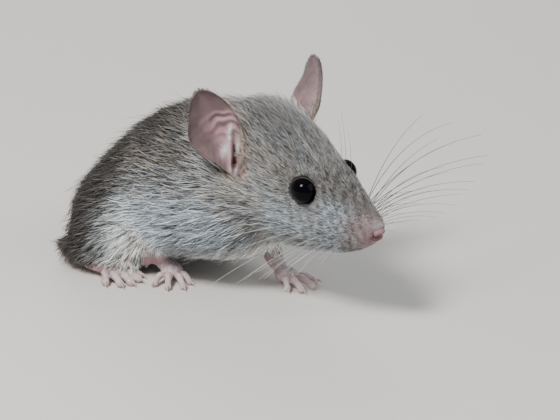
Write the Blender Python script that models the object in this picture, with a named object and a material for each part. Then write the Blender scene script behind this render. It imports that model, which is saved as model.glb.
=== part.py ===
"""A young black rat (Rattus rattus) at life size, crouched and looking ahead with the left forepaw forward.

The solids reach out to the tips of the coat. Lengths are in millimetres until a mesh is made. The
animal faces +X, its left side is +Y and its soles, with the underside of its tail, lie at z = 0.
"""

import math

import bmesh
import bpy
import numpy as np

MM = 0.001
GAP = 0.3

# Head carriage: lowered, and tilted with the left side up.
NOSE_TIP = np.array([57.6, 0.1, 21.7])
HEAD_YAW = math.radians(0.4)
HEAD_PITCH = math.radians(22.8)
HEAD_ROLL = math.radians(5.7)
# Distance behind the nose tip, level of greatest width, half width, top and bottom.
HEAD_STATIONS = (
    (-0.7, -0.8, 1.4, 1.1, -2.6),
    (0.2, -1.2, 2.6, 1.7, -4.9),
    (1.8, -1.8, 3.5, 2.0, -7.4),
    (4.0, -2.4, 4.4, 2.5, -9.5),
    (6.5, -2.9, 5.3, 3.3, -11.8),
    (9.5, -3.4, 6.2, 4.3, -13.8),
    (13.0, -3.8, 7.0, 5.4, -16.0),
    (17.0, -4.2, 8.1, 6.4, -18.2),
    (21.0, -4.5, 9.2, 7.3, -19.8),
    (26.0, -4.8, 10.3, 7.9, -21.2),
    (31.0, -4.8, 11.2, 7.6, -21.8),
    (36.0, -4.5, 11.5, 6.8, -21.4),
    (40.0, -4.0, 10.5, 5.8, -19.0),
    (42.5, -3.5, 6.0, 4.0, -12.0),
)
# Distance along the body from the root of the tail, sideways offset, level of greatest width,
# half width, height of the back and height of the belly.
TRUNK_STATIONS = (
    (-26.0, 0.0, 8.0, 2.5, 10.6, 5.4),
    (-24.8, 0.0, 8.2, 6.4, 13.2, 4.2),
    (-22.0, 0.0, 9.0, 10.0, 16.6, 3.4),
    (-18.0, 0.0, 10.2, 12.4, 20.8, 3.2),
    (-14.0, 0.0, 11.8, 13.9, 25.0, 3.4),
    (-9.0, 0.0, 14.0, 15.4, 29.8, 3.6),
    (-4.0, 0.0, 16.0, 16.6, 33.6, 3.8),
    (2.0, 0.0, 18.0, 17.2, 36.5, 4.0),
    (8.0, 0.0, 19.6, 17.0, 38.4, 4.2),
    (14.0, 0.2, 21.3, 16.0, 39.8, 4.8),
    (20.0, 0.6, 23.4, 14.6, 41.0, 6.2),
    (25.0, 1.0, 25.8, 13.0, 41.8, 8.8),
    (30.0, 1.2, 28.5, 11.0, 41.0, 13.2),
    (34.0, 1.2, 30.0, 8.5, 38.5, 19.0),
    (37.0, 1.2, 30.5, 4.0, 34.0, 26.0),
)
CORE_VOXEL = 0.95
CORE_TRIANGLES = 1270
CORE_SMOOTHING = 5
# The cut behind the head runs from the nape, behind the ears, down and forward to the throat.
NAPE = (14.6, 0.0, 42.0)
NECK_LENGTH = 7.0
NECK_LEAN = math.radians(30.0)

EYE_RADIUS = 2.9
EYE_PLACE = (-17.0, 5.8, 0.2)

NOSE_SIZE = (1.4, 1.8, 1.6)
NOSE_PLACE = (0.0, 0.0, -1.2)

# Half widths of the ear to its front and back edges at each height above the notch.
EAR_OUTLINE = (
    (-4.6, -2.0, 4.0),
    (-2.6, -0.6, 4.2),
    (-0.4, 1.0, 4.8),
    (2.0, 2.4, 5.7),
    (4.4, 3.3, 7.2),
    (6.6, 3.7, 7.8),
    (9.0, 3.8, 7.6),
    (11.4, 3.5, 6.8),
    (13.6, 2.8, 5.2),
    (15.4, 1.7, 3.0),
    (16.5, 0.2, 0.9),
)
EAR_THICKNESS = 0.85
EAR_CLEARANCE = 0.35
EAR_CUP = 2.6
EAR_ROOT_CUP = 1.5
# Root, rise, open side, turn, and the share of its back edge that is folded in near the tip.
EARS = {
    "ear_right": ((27.7, -10.0, 33.4), (-0.483, -0.285, 0.828), (0.705, -0.687, 0.176), 1, 0.14),
    "ear_left": ((27.8, 10.6, 33.7), (-0.355, 0.500, 0.790), (0.398, 0.848, -0.356), -1, 0.42),
}

# Each limb: centre, radii and turn about the vertical of its muscle mass, then the tube below it.
THIGH_CENTRE = (-8.5, 10.2, 9.8)
THIGH_RADII = (11.9, 8.6, 9.6)
HAUNCH_CENTRE = (-10.2, 11.8, 3.2)
HAUNCH_RADII = (11.4, 9.2, 5.0)
THIGH_CLEARANCE = 0.7
THIGH_TURN = math.radians(8.0)
HIND_LEG_TRIANGLES = 220
HIND_LEG_SMOOTHING = 9
HEEL = (-19.4, 14.4, 2.3)
INSTEP = (-10.6, 15.6, 2.0)
BALL = (-3.6, 17.0, 1.5)
FOOT_RADII = (2.3, 2.1, 2.4)
HIND_TOES = (
    (-30.0, 4.4, -2.0, 0.86),
    (-12.0, 6.0, -1.1, 0.92),
    (0.0, 6.5, 0.0, 0.94),
    (12.0, 6.2, 1.1, 0.92),
    (34.0, 4.2, 2.0, 0.86),
)
HIND_FOOT_HEADING = math.radians(11.0)
FOOT_TRIANGLES = 310

FORELIMBS = {
    "right": {
        "shoulder": (12.0, -9.4, 18.0),
        "elbow": (4.4, -10.4, 10.6),
        "wrist": (2.4, -8.6, 3.6),
        "palm": (6.0, -8.9, 1.9),
        "heading": math.radians(-41.0),
    },
    "left": {
        "shoulder": (18.0, 9.4, 18.4),
        "elbow": (14.0, 11.0, 10.4),
        "wrist": (21.6, 6.8, 3.8),
        "palm": (25.6, 5.8, 1.9),
        "heading": math.radians(-6.0),
    },
}
UPPER_ARM_RADII = (5.2, 3.6)
WRIST_RADIUS = 2.1
PALM_RADIUS = 2.0
PALM_RADII = (2.9, 2.5, 1.8)
DIGITS_AHEAD = 1.2
DIGITS_DROP = 0.24
PAW_HEIGHT = 3.0
FORE_DIGITS = (
    (-30.0, 3.8, -1.5, 0.76),
    (-11.0, 6.0, -0.6, 0.82),
    (9.0, 6.0, 0.6, 0.82),
    (36.0, 4.4, 1.5, 0.76),
)
FORELIMB_TRIANGLES = 480
PAW_VOXEL = 0.34

CLAW_LENGTH = 1.35
CLAW_RADIUS = 0.36
CLAW_DROOP = 0.55
CLAW_GAP = 0.12
CLAW_RISE = 0.22

# The tail leaves the rump, swings round the left side and curls in at the tip.
TAIL_PATH = (
    (-21.5, 0.2, 8.8),
    (-27.5, 1.6, 7.2),
    (-33.0, 6.6, 4.4),
    (-36.6, 16.0, 2.6),
    (-37.0, 28.0, 2.3),
    (-32.6, 40.0, 2.1),
    (-24.4, 49.6, 1.9),
    (-13.4, 55.6, 1.7),
    (-2.2, 56.4, 1.5),
    (6.4, 51.4, 1.3),
    (9.8, 42.8, 1.1),
    (7.2, 34.2, 0.9),
    (-0.6, 29.4, 0.7),
)
TAIL_ROOT_RADIUS = 3.0
TAIL_TIP_RADIUS = 0.6
FLOOR_FLAT = 0.12
TAIL_SECTIONS = (("tail_base", 0.0, 0.26), ("tail_middle", 0.26, 0.66), ("tail_tip", 0.66, 1.0))
TAIL_RINGS = 54
TAIL_STEPS = 11

OVAL_ROWS = 7
OVAL_AROUND = 12

COLOURS = {
    "coat_brown": ((0.085, 0.072, 0.058, 1.0), 0.85),
    "coat_grey": ((0.13, 0.12, 0.105, 1.0), 0.85),
    "bare_skin": ((0.42, 0.24, 0.21, 1.0), 0.6),
    "ear_skin": ((0.22, 0.13, 0.115, 1.0), 0.6),
    "tail_skin": ((0.12, 0.09, 0.08, 1.0), 0.7),
    "eye_black": ((0.006, 0.005, 0.006, 1.0), 0.05),
    "claw_horn": ((0.55, 0.43, 0.33, 1.0), 0.45),
}


def unit(vector):
    """The vector at length one."""
    vector = np.asarray(vector, float)
    return vector / np.linalg.norm(vector)


def head_axes():
    """Forward, left and up of the head in the animal's frame."""
    forward = np.array(
        [
            math.cos(HEAD_PITCH) * math.cos(HEAD_YAW),
            math.cos(HEAD_PITCH) * math.sin(HEAD_YAW),
            -math.sin(HEAD_PITCH),
        ]
    )
    level = np.array([-math.sin(HEAD_YAW), math.cos(HEAD_YAW), 0.0])
    raised = np.cross(forward, level)
    left = level * math.cos(HEAD_ROLL) + raised * math.sin(HEAD_ROLL)
    return forward, left, np.cross(forward, left)


def head_point(ahead, left, up):
    """A place on the head, measured from the nose tip."""
    axes = head_axes()
    return NOSE_TIP + ahead * axes[0] + left * axes[1] + up * axes[2]


def smooth_rows(rows, count):
    """Catmull-Rom rows through a table, evenly spread by row number."""
    rows = np.asarray(rows, float)
    padded = np.vstack([2 * rows[0] - rows[1], rows, 2 * rows[-1] - rows[-2]])
    place = np.linspace(0, len(rows) - 1, count)
    index = np.minimum(place.astype(int), len(rows) - 2)
    t = (place - index)[:, None]
    a, b, c, d = (padded[index + k] for k in range(4))
    return 0.5 * (2 * b + (c - a) * t + (2 * a - 5 * b + 4 * c - d) * t**2 + (3 * b - a - 3 * c + d) * t**3)


def rings_to_mesh(name, rings):
    """A closed mesh over rings of points, with a cap point at each end."""
    rows, around, _ = rings.shape
    points = np.vstack([rings.reshape(-1, 3), rings[0].mean(0), rings[-1].mean(0)])
    faces = []
    for i in range(rows - 1):
        for j in range(around):
            k = (j + 1) % around
            faces.append((i * around + j, i * around + k, (i + 1) * around + k, (i + 1) * around + j))
    last = (rows - 1) * around
    for j in range(around):
        k = (j + 1) % around
        faces.append((rows * around, k, j))
        faces.append((rows * around + 1, last + j, last + k))
    return new_object(name, points, faces)


def new_object(name, points, faces):
    """An object in metres from points in millimetres, its faces turned outwards."""
    mesh = bpy.data.meshes.new(name)
    mesh.from_pydata((np.asarray(points) * MM).tolist(), [], [tuple(int(v) for v in f) for f in faces])
    work = bmesh.new()
    work.from_mesh(mesh)
    bmesh.ops.recalc_face_normals(work, faces=work.faces)
    if work.calc_volume(signed=True) < 0:
        bmesh.ops.reverse_faces(work, faces=work.faces)
    work.to_mesh(mesh)
    work.free()
    obj = bpy.data.objects.new(name, mesh)
    bpy.context.scene.collection.objects.link(obj)
    return obj


def oval_rings(centres, sides, ups, widths, tops, bottoms, around):
    """Rings that are half ovals above and below the level of greatest width."""
    angles = np.arange(around) * math.tau / around
    across = np.cos(angles)[None, :, None] * np.asarray(widths)[:, None, None]
    rise = np.sin(angles)[None, :]
    height = np.where(rise > 0, rise * np.asarray(tops)[:, None], rise * np.asarray(bottoms)[:, None])
    return (
        np.asarray(centres)[:, None, :]
        + across * np.asarray(sides)[:, None, :]
        + height[:, :, None] * np.asarray(ups)[:, None, :]
    )


def head_loft():
    """The head from muzzle to nape."""
    forward, left, up = head_axes()
    rows = smooth_rows(HEAD_STATIONS, 44)
    centres = NOSE_TIP - rows[:, :1] * forward + rows[:, 1:2] * up
    tops = rows[:, 3] - rows[:, 1]
    bottoms = rows[:, 1] - rows[:, 4]
    count = len(rows)
    rings = oval_rings(
        centres, np.tile(left, (count, 1)), np.tile(up, (count, 1)), rows[:, 2], tops, bottoms, 36
    )
    return rings_to_mesh("head_loft", rings)


def trunk_loft():
    """The body from rump to throat."""
    rows = smooth_rows(TRUNK_STATIONS, 52)
    count = len(rows)
    rings = oval_rings(
        rows[:, :3],
        np.tile([0.0, 1.0, 0.0], (count, 1)),
        np.tile([0.0, 0.0, 1.0], (count, 1)),
        rows[:, 3],
        rows[:, 4] - rows[:, 2],
        rows[:, 2] - rows[:, 5],
        40,
    )
    return rings_to_mesh("trunk_loft", rings)


def tube(name, path, radii, around=16, count=20, flatten=1.0):
    """A round tube along a smooth path with domed ends."""
    rows = smooth_rows(np.column_stack([np.asarray(path, float), radii]), count)
    centres = rows[:, :3]
    along = np.gradient(centres, axis=0)
    along /= np.linalg.norm(along, axis=1, keepdims=True)
    dome = np.radians([80.0, 55.0, 28.0])
    first, last = rows[0, 3], rows[-1, 3]
    centres = np.vstack(
        [
            centres[0] - np.outer(np.sin(dome), along[0]) * first,
            centres,
            centres[-1] + np.outer(np.sin(dome[::-1]), along[-1]) * last,
        ]
    )
    radius = np.concatenate([np.cos(dome) * first, rows[:, 3], np.cos(dome[::-1]) * last])
    along = np.vstack([np.tile(along[0], (3, 1)), along, np.tile(along[-1], (3, 1))])
    side = np.cross([0.0, 0.0, 1.0], along)
    side /= np.maximum(np.linalg.norm(side, axis=1, keepdims=True), 1e-6)
    up = np.cross(along, side)
    rings = oval_rings(centres, side, up, radius, radius * flatten, radius * flatten, around)
    return rings_to_mesh(name, rings)


def ellipsoid(name, centre, radii, turn=0.0):
    """An ellipsoid turned about the vertical."""
    points, faces = [], []
    rows, around = OVAL_ROWS, OVAL_AROUND
    angles = np.arange(around) * math.tau / around
    tilt = np.linspace(-math.pi / 2, math.pi / 2, rows + 2)[1:-1]
    for lat in tilt:
        ring = np.column_stack(
            [np.cos(angles) * math.cos(lat), np.sin(angles) * math.cos(lat), np.full(around, math.sin(lat))]
        )
        points.append(ring * np.asarray(radii))
    rings = np.array(points)
    spin = np.array(
        [[math.cos(turn), -math.sin(turn), 0.0], [math.sin(turn), math.cos(turn), 0.0], [0.0, 0.0, 1.0]]
    )
    return rings_to_mesh(name, rings @ spin.T + np.asarray(centre, float))


def evaluated(obj):
    """Applies the object's modifiers."""
    bpy.context.view_layer.update()
    graph = bpy.context.evaluated_depsgraph_get()
    mesh = bpy.data.meshes.new_from_object(obj.evaluated_get(graph))
    obj.modifiers.clear()
    obj.data = mesh
    return obj


def fused(name, pieces, voxel, smoothing, triangles):
    """One closed skin over several overlapping pieces."""
    work = bmesh.new()
    for piece in pieces:
        work.from_mesh(piece.data)
        bpy.data.objects.remove(piece)
    mesh = bpy.data.meshes.new(name)
    work.to_mesh(mesh)
    work.free()
    obj = bpy.data.objects.new(name, mesh)
    bpy.context.scene.collection.objects.link(obj)
    remesh = obj.modifiers.new("remesh", "REMESH")
    remesh.mode = "VOXEL"
    remesh.voxel_size = voxel * MM
    smooth = obj.modifiers.new("smooth", "SMOOTH")
    smooth.iterations = smoothing
    smooth.factor = 0.5
    evaluated(obj)
    obj.modifiers.new("triangulate", "TRIANGULATE")
    evaluated(obj)
    reduce = obj.modifiers.new("reduce", "DECIMATE")
    reduce.ratio = min(1.0, triangles / len(obj.data.polygons))
    reduce.use_collapse_triangulate = True
    return evaluated(obj)


def combine(obj, other, operation):
    """Cuts or trims the object with another, which stays."""
    step = obj.modifiers.new("step", "BOOLEAN")
    step.operation = operation
    step.object = other
    step.solver = "EXACT"
    step.use_self = True
    return evaluated(obj)


def copy_of(obj, name):
    """A second object with its own mesh."""
    other = obj.copy()
    other.data = obj.data.copy()
    other.name = name
    bpy.context.scene.collection.objects.link(other)
    return other


def grown(obj, by):
    """A copy pushed outwards along its normals, for cutting clearance in a neighbour."""
    other = copy_of(obj, "grown")
    count = len(other.data.vertices)
    places = np.empty(count * 3)
    normals = np.empty(count * 3, np.float32)
    other.data.vertices.foreach_get("co", places)
    other.data.vertex_normals.foreach_get("vector", normals)
    other.data.vertices.foreach_set("co", places + normals * by * MM)
    other.data.update()
    return other


def block(low, high, origin, axes):
    """A box between two corners in a turned frame."""
    corners = np.array([[x, y, z] for x in (low[0], high[0]) for y in (low[1], high[1]) for z in (low[2], high[2])])
    faces = ((0, 1, 3, 2), (4, 6, 7, 5), (0, 4, 5, 1), (2, 3, 7, 6), (0, 2, 6, 4), (1, 5, 7, 3))
    return new_object("block", np.asarray(origin) + corners @ np.asarray(axes), faces)


def keep_above_floor(obj, level=0.0):
    """Cuts small flats where the piece would pass through the floor."""
    floor = block((-200, -200, -20), (200, 200, level), (0, 0, 0), np.eye(3))
    combine(obj, floor, "DIFFERENCE")
    bpy.data.objects.remove(floor)
    return obj


def cut_away(obj, other, by=GAP):
    """Clears room for a neighbour."""
    cutter = grown(other, by)
    combine(obj, cutter, "DIFFERENCE")
    bpy.data.objects.remove(cutter)
    return obj


def ear(name, root, rise, face, side, fold, grow=0.0):
    """A thin cupped ear. Its rows rise from the root and its columns run from front to back edge."""
    rise = unit(rise)
    face = unit(np.asarray(face) - np.dot(face, rise) * rise)
    front = np.cross(rise, face) * side
    rows = smooth_rows(EAR_OUTLINE, 12)
    across = np.linspace(1.0, -1.0, 9)
    grid = np.empty((len(rows), len(across), 3))
    for i, (height, ahead, behind) in enumerate(rows):
        behind *= 1.0 - fold * math.exp(-(((height - 12.9) / 2.4) ** 2))
        ahead += grow
        behind += grow
        height += grow * (2.0 * i / (len(rows) - 1) - 1.0)
        middle = 0.5 * (ahead - behind)
        half = 0.5 * (ahead + behind)
        reach = middle + across * half
        bowl = 1.0 - np.abs(across) ** 2.2
        lift = max(0.0, 1.0 - abs(height - 6.0) / 13.0)
        depth = -EAR_CUP * bowl * lift - EAR_ROOT_CUP * max(0.0, 1.0 - (height + 4.6) / 9.0)
        grid[i] = np.asarray(root) + height * rise + np.outer(reach, front) + np.outer(depth, face)
    return shell(name, grid, EAR_THICKNESS + 2.0 * grow)


def shell(name, grid, thickness):
    """A closed sheet of even thickness about a grid of points, with rounded rims."""
    along = np.gradient(grid, axis=0)
    over = np.gradient(grid, axis=1)
    normal = np.cross(along, over)
    normal /= np.linalg.norm(normal, axis=2, keepdims=True)
    rows, columns, _ = grid.shape
    front = grid + normal * thickness / 2
    back = grid - normal * thickness / 2
    rings = np.concatenate([front, back[:, ::-1]], axis=1)
    return rings_to_mesh(name, rings)


def mirrored(place, side):
    """The same place on the given side, where -1 is right."""
    return (place[0], place[1] * side, place[2])


def digit_ends(base, heading, digits, side):
    """Root, knuckle, tip and radius of each digit, fanned about the heading."""
    ahead = np.array([math.cos(heading), math.sin(heading), 0.0])
    left = np.array([-math.sin(heading), math.cos(heading), 0.0])
    for angle, length, offset, radius in digits:
        turn = math.radians(angle) * side
        away = ahead * math.cos(turn) + left * math.sin(turn)
        root = np.asarray(base) + left * offset * side
        tip = root + away * length
        tip[2] = radius - FLOOR_FLAT
        knuckle = root + away * length * 0.5
        knuckle[2] = base[2] + 0.1
        yield root, knuckle, tip, radius


def claw(name, tip, knuckle, radius):
    """A short hooked claw standing clear of the end of its digit."""
    away = unit((tip - knuckle) * np.array([1.0, 1.0, 0.0]))
    start = tip + away * (radius + CLAW_GAP) + np.array([0.0, 0.0, CLAW_RISE])
    steps = np.linspace(0.0, 1.0, 4)
    path = [start + away * CLAW_LENGTH * s - np.array([0.0, 0.0, CLAW_DROOP * s * s]) for s in steps]
    radii = CLAW_RADIUS * (1.0 - 0.72 * steps)
    return flat_tube(name, np.array(path), radii, around=5)


def paw_pieces(base, heading, digits, side):
    """Digit tubes of one paw."""
    for number, (root, knuckle, tip, radius) in enumerate(digit_ends(base, heading, digits, side)):
        path = (root, knuckle, tip)
        yield tube(f"digit_{number}", path, (radius * 1.15, radius * 1.05, radius), around=10, count=7)


def paw_claws(prefix, base, heading, digits, side):
    """Claws of one paw."""
    names = []
    for number, (_, knuckle, tip, radius) in enumerate(digit_ends(base, heading, digits, side)):
        names.append(claw(f"{prefix}_{number + 1}", tip, knuckle, radius))
    return names


def forelimb(label, sizes, side):
    """Foreleg and forepaw of one side, cut apart at the wrist, with the claws."""
    arm = tube(
        "arm",
        (sizes["shoulder"], sizes["elbow"], sizes["wrist"], sizes["palm"]),
        (UPPER_ARM_RADII[0], UPPER_ARM_RADII[1], WRIST_RADIUS, PALM_RADIUS),
    )
    palm = ellipsoid("palm", sizes["palm"], PALM_RADII, sizes["heading"])
    base = np.asarray(sizes["palm"]) + [
        DIGITS_AHEAD * math.cos(sizes["heading"]),
        DIGITS_AHEAD * math.sin(sizes["heading"]),
        -DIGITS_DROP,
    ]
    digits = list(paw_pieces(base, sizes["heading"], FORE_DIGITS, side))
    whole = fused("limb", [arm, palm, *digits], PAW_VOXEL, 3, FORELIMB_TRIANGLES)
    keep_above_floor(whole)
    axis = unit(np.asarray(sizes["palm"]) - np.asarray(sizes["wrist"]))
    sideways = unit(np.cross([0.0, 0.0, 1.0], axis))
    axes = (axis, sideways, np.cross(axis, sideways))
    foreleg = whole
    forepaw = copy_of(whole, f"forepaw_{label}")
    ahead = block((0.0, -15, -12), (25, 15, PAW_HEIGHT + GAP), sizes["wrist"], axes)
    behind = block((GAP, -15, -12), (25, 15, PAW_HEIGHT), sizes["wrist"], axes)
    combine(foreleg, ahead, "DIFFERENCE")
    combine(forepaw, behind, "INTERSECT")
    for cutter in (ahead, behind):
        bpy.data.objects.remove(cutter)
    foreleg.name = f"foreleg_{label}"
    claws = paw_claws(f"claw_fore_{label}", base, sizes["heading"], FORE_DIGITS, side)
    return foreleg, forepaw, claws


def hind_limb(label, side):
    """Hind leg, long hind foot and claws of one side."""
    thigh = ellipsoid("thigh", mirrored(THIGH_CENTRE, side), THIGH_RADII, THIGH_TURN * side)
    haunch = ellipsoid("haunch", mirrored(HAUNCH_CENTRE, side), HAUNCH_RADII)
    leg = fused(f"hind_leg_{label}", [thigh, haunch], CORE_VOXEL, HIND_LEG_SMOOTHING, HIND_LEG_TRIANGLES)
    keep_above_floor(leg, THIGH_CLEARANCE)
    path = [mirrored(place, side) for place in (HEEL, INSTEP, BALL)]
    sole = tube("sole", path, FOOT_RADII, flatten=0.85)
    heading = HIND_FOOT_HEADING * side
    digits = list(paw_pieces(path[2], heading, HIND_TOES, side))
    foot = fused(f"hind_foot_{label}", [sole, *digits], PAW_VOXEL, 3, FOOT_TRIANGLES)
    keep_above_floor(foot)
    claws = paw_claws(f"claw_hind_{label}", path[2], heading, HIND_TOES, side)
    cut_away(leg, foot)
    return leg, foot, claws


def tail():
    """The tail in three lengths, laid on the floor."""
    rows = smooth_rows(TAIL_PATH, TAIL_RINGS)
    share = np.linspace(0.0, 1.0, TAIL_RINGS)
    radii = TAIL_ROOT_RADIUS + (TAIL_TIP_RADIUS - TAIL_ROOT_RADIUS) * share**0.8
    on_floor = share > 0.26
    rows[:, 2] = np.where(on_floor, radii - FLOOR_FLAT, np.maximum(rows[:, 2], radii - FLOOR_FLAT))
    sections = []
    length = np.concatenate([[0.0], np.cumsum(np.linalg.norm(np.diff(rows, axis=0), axis=1))])
    for name, start, end in TAIL_SECTIONS:
        low = start * length[-1] + GAP / 2 * (start > 0)
        high = end * length[-1] - GAP / 2 * (end < 1)
        places = np.linspace(low, high, TAIL_STEPS)
        path = np.column_stack([np.interp(places, length, rows[:, k]) for k in range(3)])
        size = np.interp(places, length, radii)
        sections.append(keep_above_floor(flat_tube(name, path, size)))
    return sections


def flat_tube(name, centres, radii, around=10):
    """A round tube with flat ends."""
    along = np.gradient(centres, axis=0)
    along /= np.linalg.norm(along, axis=1, keepdims=True)
    side = np.cross([0.0, 0.0, 1.0], along)
    side /= np.linalg.norm(side, axis=1, keepdims=True)
    return rings_to_mesh(name, oval_rings(centres, side, np.cross(along, side), radii, radii, radii, around))


def core_pieces():
    """Head, neck and trunk cut from one fused body."""
    body = fused("body", [head_loft(), trunk_loft()], CORE_VOXEL, CORE_SMOOTHING, CORE_TRIANGLES)
    forward = np.array([math.cos(NECK_LEAN), 0.0, math.sin(NECK_LEAN)])
    axes = (forward, np.array([0.0, 1.0, 0.0]), np.cross(forward, [0.0, 1.0, 0.0]))
    half = GAP / 2
    spans = {
        "head": (half, 80.0),
        "neck": (-NECK_LENGTH + half, -half),
        "trunk": (-120.0, -NECK_LENGTH - half),
    }
    pieces = {}
    for name, (low, high) in spans.items():
        piece = copy_of(body, name)
        region = block((low, -80, -80), (high, 80, 80), NAPE, axes)
        combine(piece, region, "INTERSECT")
        bpy.data.objects.remove(region)
        pieces[name] = piece
    bpy.data.objects.remove(body)
    return pieces


def material(name):
    """A shared finish."""
    found = bpy.data.materials.get(name)
    if found:
        return found
    colour, roughness = COLOURS[name]
    found = bpy.data.materials.new(name)
    found.use_nodes = True
    shader = found.node_tree.nodes["Principled BSDF"]
    shader.inputs["Base Color"].default_value = colour
    shader.inputs["Roughness"].default_value = roughness
    shader.inputs["Metallic"].default_value = 0.0
    return found


def finish_name(name):
    """The finish of a piece from its name."""
    rules = (
        ("claw", "claw_horn"),
        ("eye", "eye_black"),
        ("ear", "ear_skin"),
        ("tail", "tail_skin"),
        ("nose", "bare_skin"),
        ("forepaw", "bare_skin"),
        ("hind_foot", "bare_skin"),
        ("head", "coat_grey"),
    )
    for start, finish in rules:
        if name.startswith(start):
            return finish
    return "coat_brown"


def centre_on_floor(objects):
    """Moves all pieces so that their common box stands centred on the origin."""
    lows, highs = [], []
    for obj in objects:
        places = np.empty(len(obj.data.vertices) * 3)
        obj.data.vertices.foreach_get("co", places)
        places = places.reshape(-1, 3)
        lows.append(places.min(0))
        highs.append(places.max(0))
    low, high = np.min(lows, axis=0), np.max(highs, axis=0)
    shift = np.array([-(low[0] + high[0]) / 2, -(low[1] + high[1]) / 2, -low[2]])
    for obj in objects:
        places = np.empty(len(obj.data.vertices) * 3)
        obj.data.vertices.foreach_get("co", places)
        obj.data.vertices.foreach_set("co", (places.reshape(-1, 3) + shift).ravel())
        obj.data.update()


def build():
    """Makes every piece of the animal."""
    for obj in list(bpy.data.objects):
        bpy.data.objects.remove(obj)
    core = core_pieces()
    pieces = list(core.values())
    for name, side in (("right", -1), ("left", 1)):
        eye = ellipsoid(
            f"eye_{name}",
            head_point(EYE_PLACE[0], EYE_PLACE[1] * side, EYE_PLACE[2]),
            (EYE_RADIUS,) * 3,
        )
        cut_away(core["head"], eye)
        pieces.append(eye)
    nose = ellipsoid("nose", head_point(*NOSE_PLACE), NOSE_SIZE, HEAD_YAW)
    cut_away(core["head"], nose)
    pieces.append(nose)
    for name, (root, rise, face, side, fold) in EARS.items():
        shape = ear(name, root, rise, face, side, fold)
        slot = ear("slot", root, rise, face, side, fold, EAR_CLEARANCE)
        combine(core["head"], slot, "DIFFERENCE")
        bpy.data.objects.remove(slot)
        pieces.append(shape)
    for name, side in (("right", -1), ("left", 1)):
        foreleg, forepaw, claws = forelimb(name, FORELIMBS[name], side)
        cut_away(core["trunk"], foreleg)
        cut_away(core["trunk"], forepaw)
        cut_away(core["neck"], foreleg)
        hind_leg, hind_foot, more_claws = hind_limb(name, side)
        cut_away(hind_leg, foreleg)
        cut_away(core["trunk"], hind_leg)
        cut_away(core["trunk"], hind_foot)
        pieces.extend([foreleg, forepaw, *claws, hind_leg, hind_foot, *more_claws])
    sections = tail()
    cut_away(core["trunk"], sections[0])
    pieces.extend(sections)
    centre_on_floor(pieces)
    for obj in pieces:
        obj.data.materials.clear()
        obj.data.materials.append(material(finish_name(obj.name)))
        for polygon in obj.data.polygons:
            polygon.use_smooth = False


build()
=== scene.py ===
"""A young black rat at life size: skin, coat, eyes, whiskers and claws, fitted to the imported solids.

Lengths are in millimetres in the animal's own frame, with +X ahead, +Y to its left and the floor at
z = 0, until a mesh is made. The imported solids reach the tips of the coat, so the skin lies inside
them by the coat's depth, and each lock of hair grows from the skin back out to their surface.
"""

import logging
import math
from collections.abc import Sequence
from dataclasses import dataclass, field
from enum import Enum
from typing import ClassVar

import bpy
import numpy as np
from mathutils import Matrix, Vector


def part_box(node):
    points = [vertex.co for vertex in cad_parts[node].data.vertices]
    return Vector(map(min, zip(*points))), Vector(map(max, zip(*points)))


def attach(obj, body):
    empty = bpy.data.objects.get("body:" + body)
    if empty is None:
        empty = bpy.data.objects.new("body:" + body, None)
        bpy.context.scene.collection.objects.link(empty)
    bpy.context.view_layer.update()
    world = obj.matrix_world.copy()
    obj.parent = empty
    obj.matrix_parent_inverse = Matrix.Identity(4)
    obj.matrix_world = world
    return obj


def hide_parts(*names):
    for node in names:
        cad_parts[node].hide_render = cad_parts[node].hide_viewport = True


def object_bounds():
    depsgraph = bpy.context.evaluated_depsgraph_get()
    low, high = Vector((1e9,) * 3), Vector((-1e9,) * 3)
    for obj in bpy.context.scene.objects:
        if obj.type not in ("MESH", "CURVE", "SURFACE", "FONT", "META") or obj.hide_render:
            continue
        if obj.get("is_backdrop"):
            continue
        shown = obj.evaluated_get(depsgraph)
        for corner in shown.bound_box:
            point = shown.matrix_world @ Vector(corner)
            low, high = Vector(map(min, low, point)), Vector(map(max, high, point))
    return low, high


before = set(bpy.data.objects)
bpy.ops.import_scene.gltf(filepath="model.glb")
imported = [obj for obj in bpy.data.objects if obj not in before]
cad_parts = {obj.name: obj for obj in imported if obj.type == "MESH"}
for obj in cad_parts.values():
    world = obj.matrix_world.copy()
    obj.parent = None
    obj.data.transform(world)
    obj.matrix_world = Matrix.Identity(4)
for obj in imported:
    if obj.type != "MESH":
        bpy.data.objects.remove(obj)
CAD_LOW, CAD_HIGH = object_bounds()

Array = np.ndarray
Socket = bpy.types.NodeSocket
Pair = tuple[float, float]
Triple = tuple[float, float, float]
MM = 0.001
FAR_AWAY = 1e9
DOME_TILTS = (80, 62, 42, 20)
REGIONS = ("Cream", "Silver", "Ochre", "Black")
CREAM, SILVER, OCHRE, BLACK = range(4)
DEPTH, LENGTH, WIDTH, DENSITY = range(4)
UP = (0, 0, 1)
LOG = logging.getLogger("young_black_rat")


# ---------------------------------------------------------------- arithmetic on whole arrays


def unit(vectors: Array) -> Array:
    """Vectors at length one: v / |v|."""
    vectors = np.asarray(vectors, float)
    return vectors / np.maximum(np.linalg.norm(vectors, axis=-1, keepdims=True), 1e-9)


def ramp(value: Array, low: float, high: float) -> Array:
    """Smooth step 3t^2 - 2t^3, with t running from 0 at low to 1 at high."""
    t = np.clip((np.asarray(value, float) - low) / (high - low), 0, 1)
    return t * t * (3 - 2 * t)


def fall(value: Array, low: float, high: float) -> Array:
    """The same step downwards, from 1 at low to 0 at high."""
    return 1 - ramp(value, low, high)


def bump(distance: Array, width: float) -> Array:
    """Bell curve exp(-(distance / width)^2)."""
    return np.exp(-((np.asarray(distance, float) / width) ** 2))


def blend(first: Array, second: Array, share: Array) -> Array:
    """The first value where share is 0 and the second where it is 1."""
    return first + (second - first) * share


def dot(first: Array, second: Array) -> Array:
    """Scalar product of two tables of vectors, row by row."""
    return np.einsum("ij,ij->i", first, second)


def size_of(vectors: Array) -> Array:
    """Lengths of vectors."""
    return np.linalg.norm(vectors, axis=-1)


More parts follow.
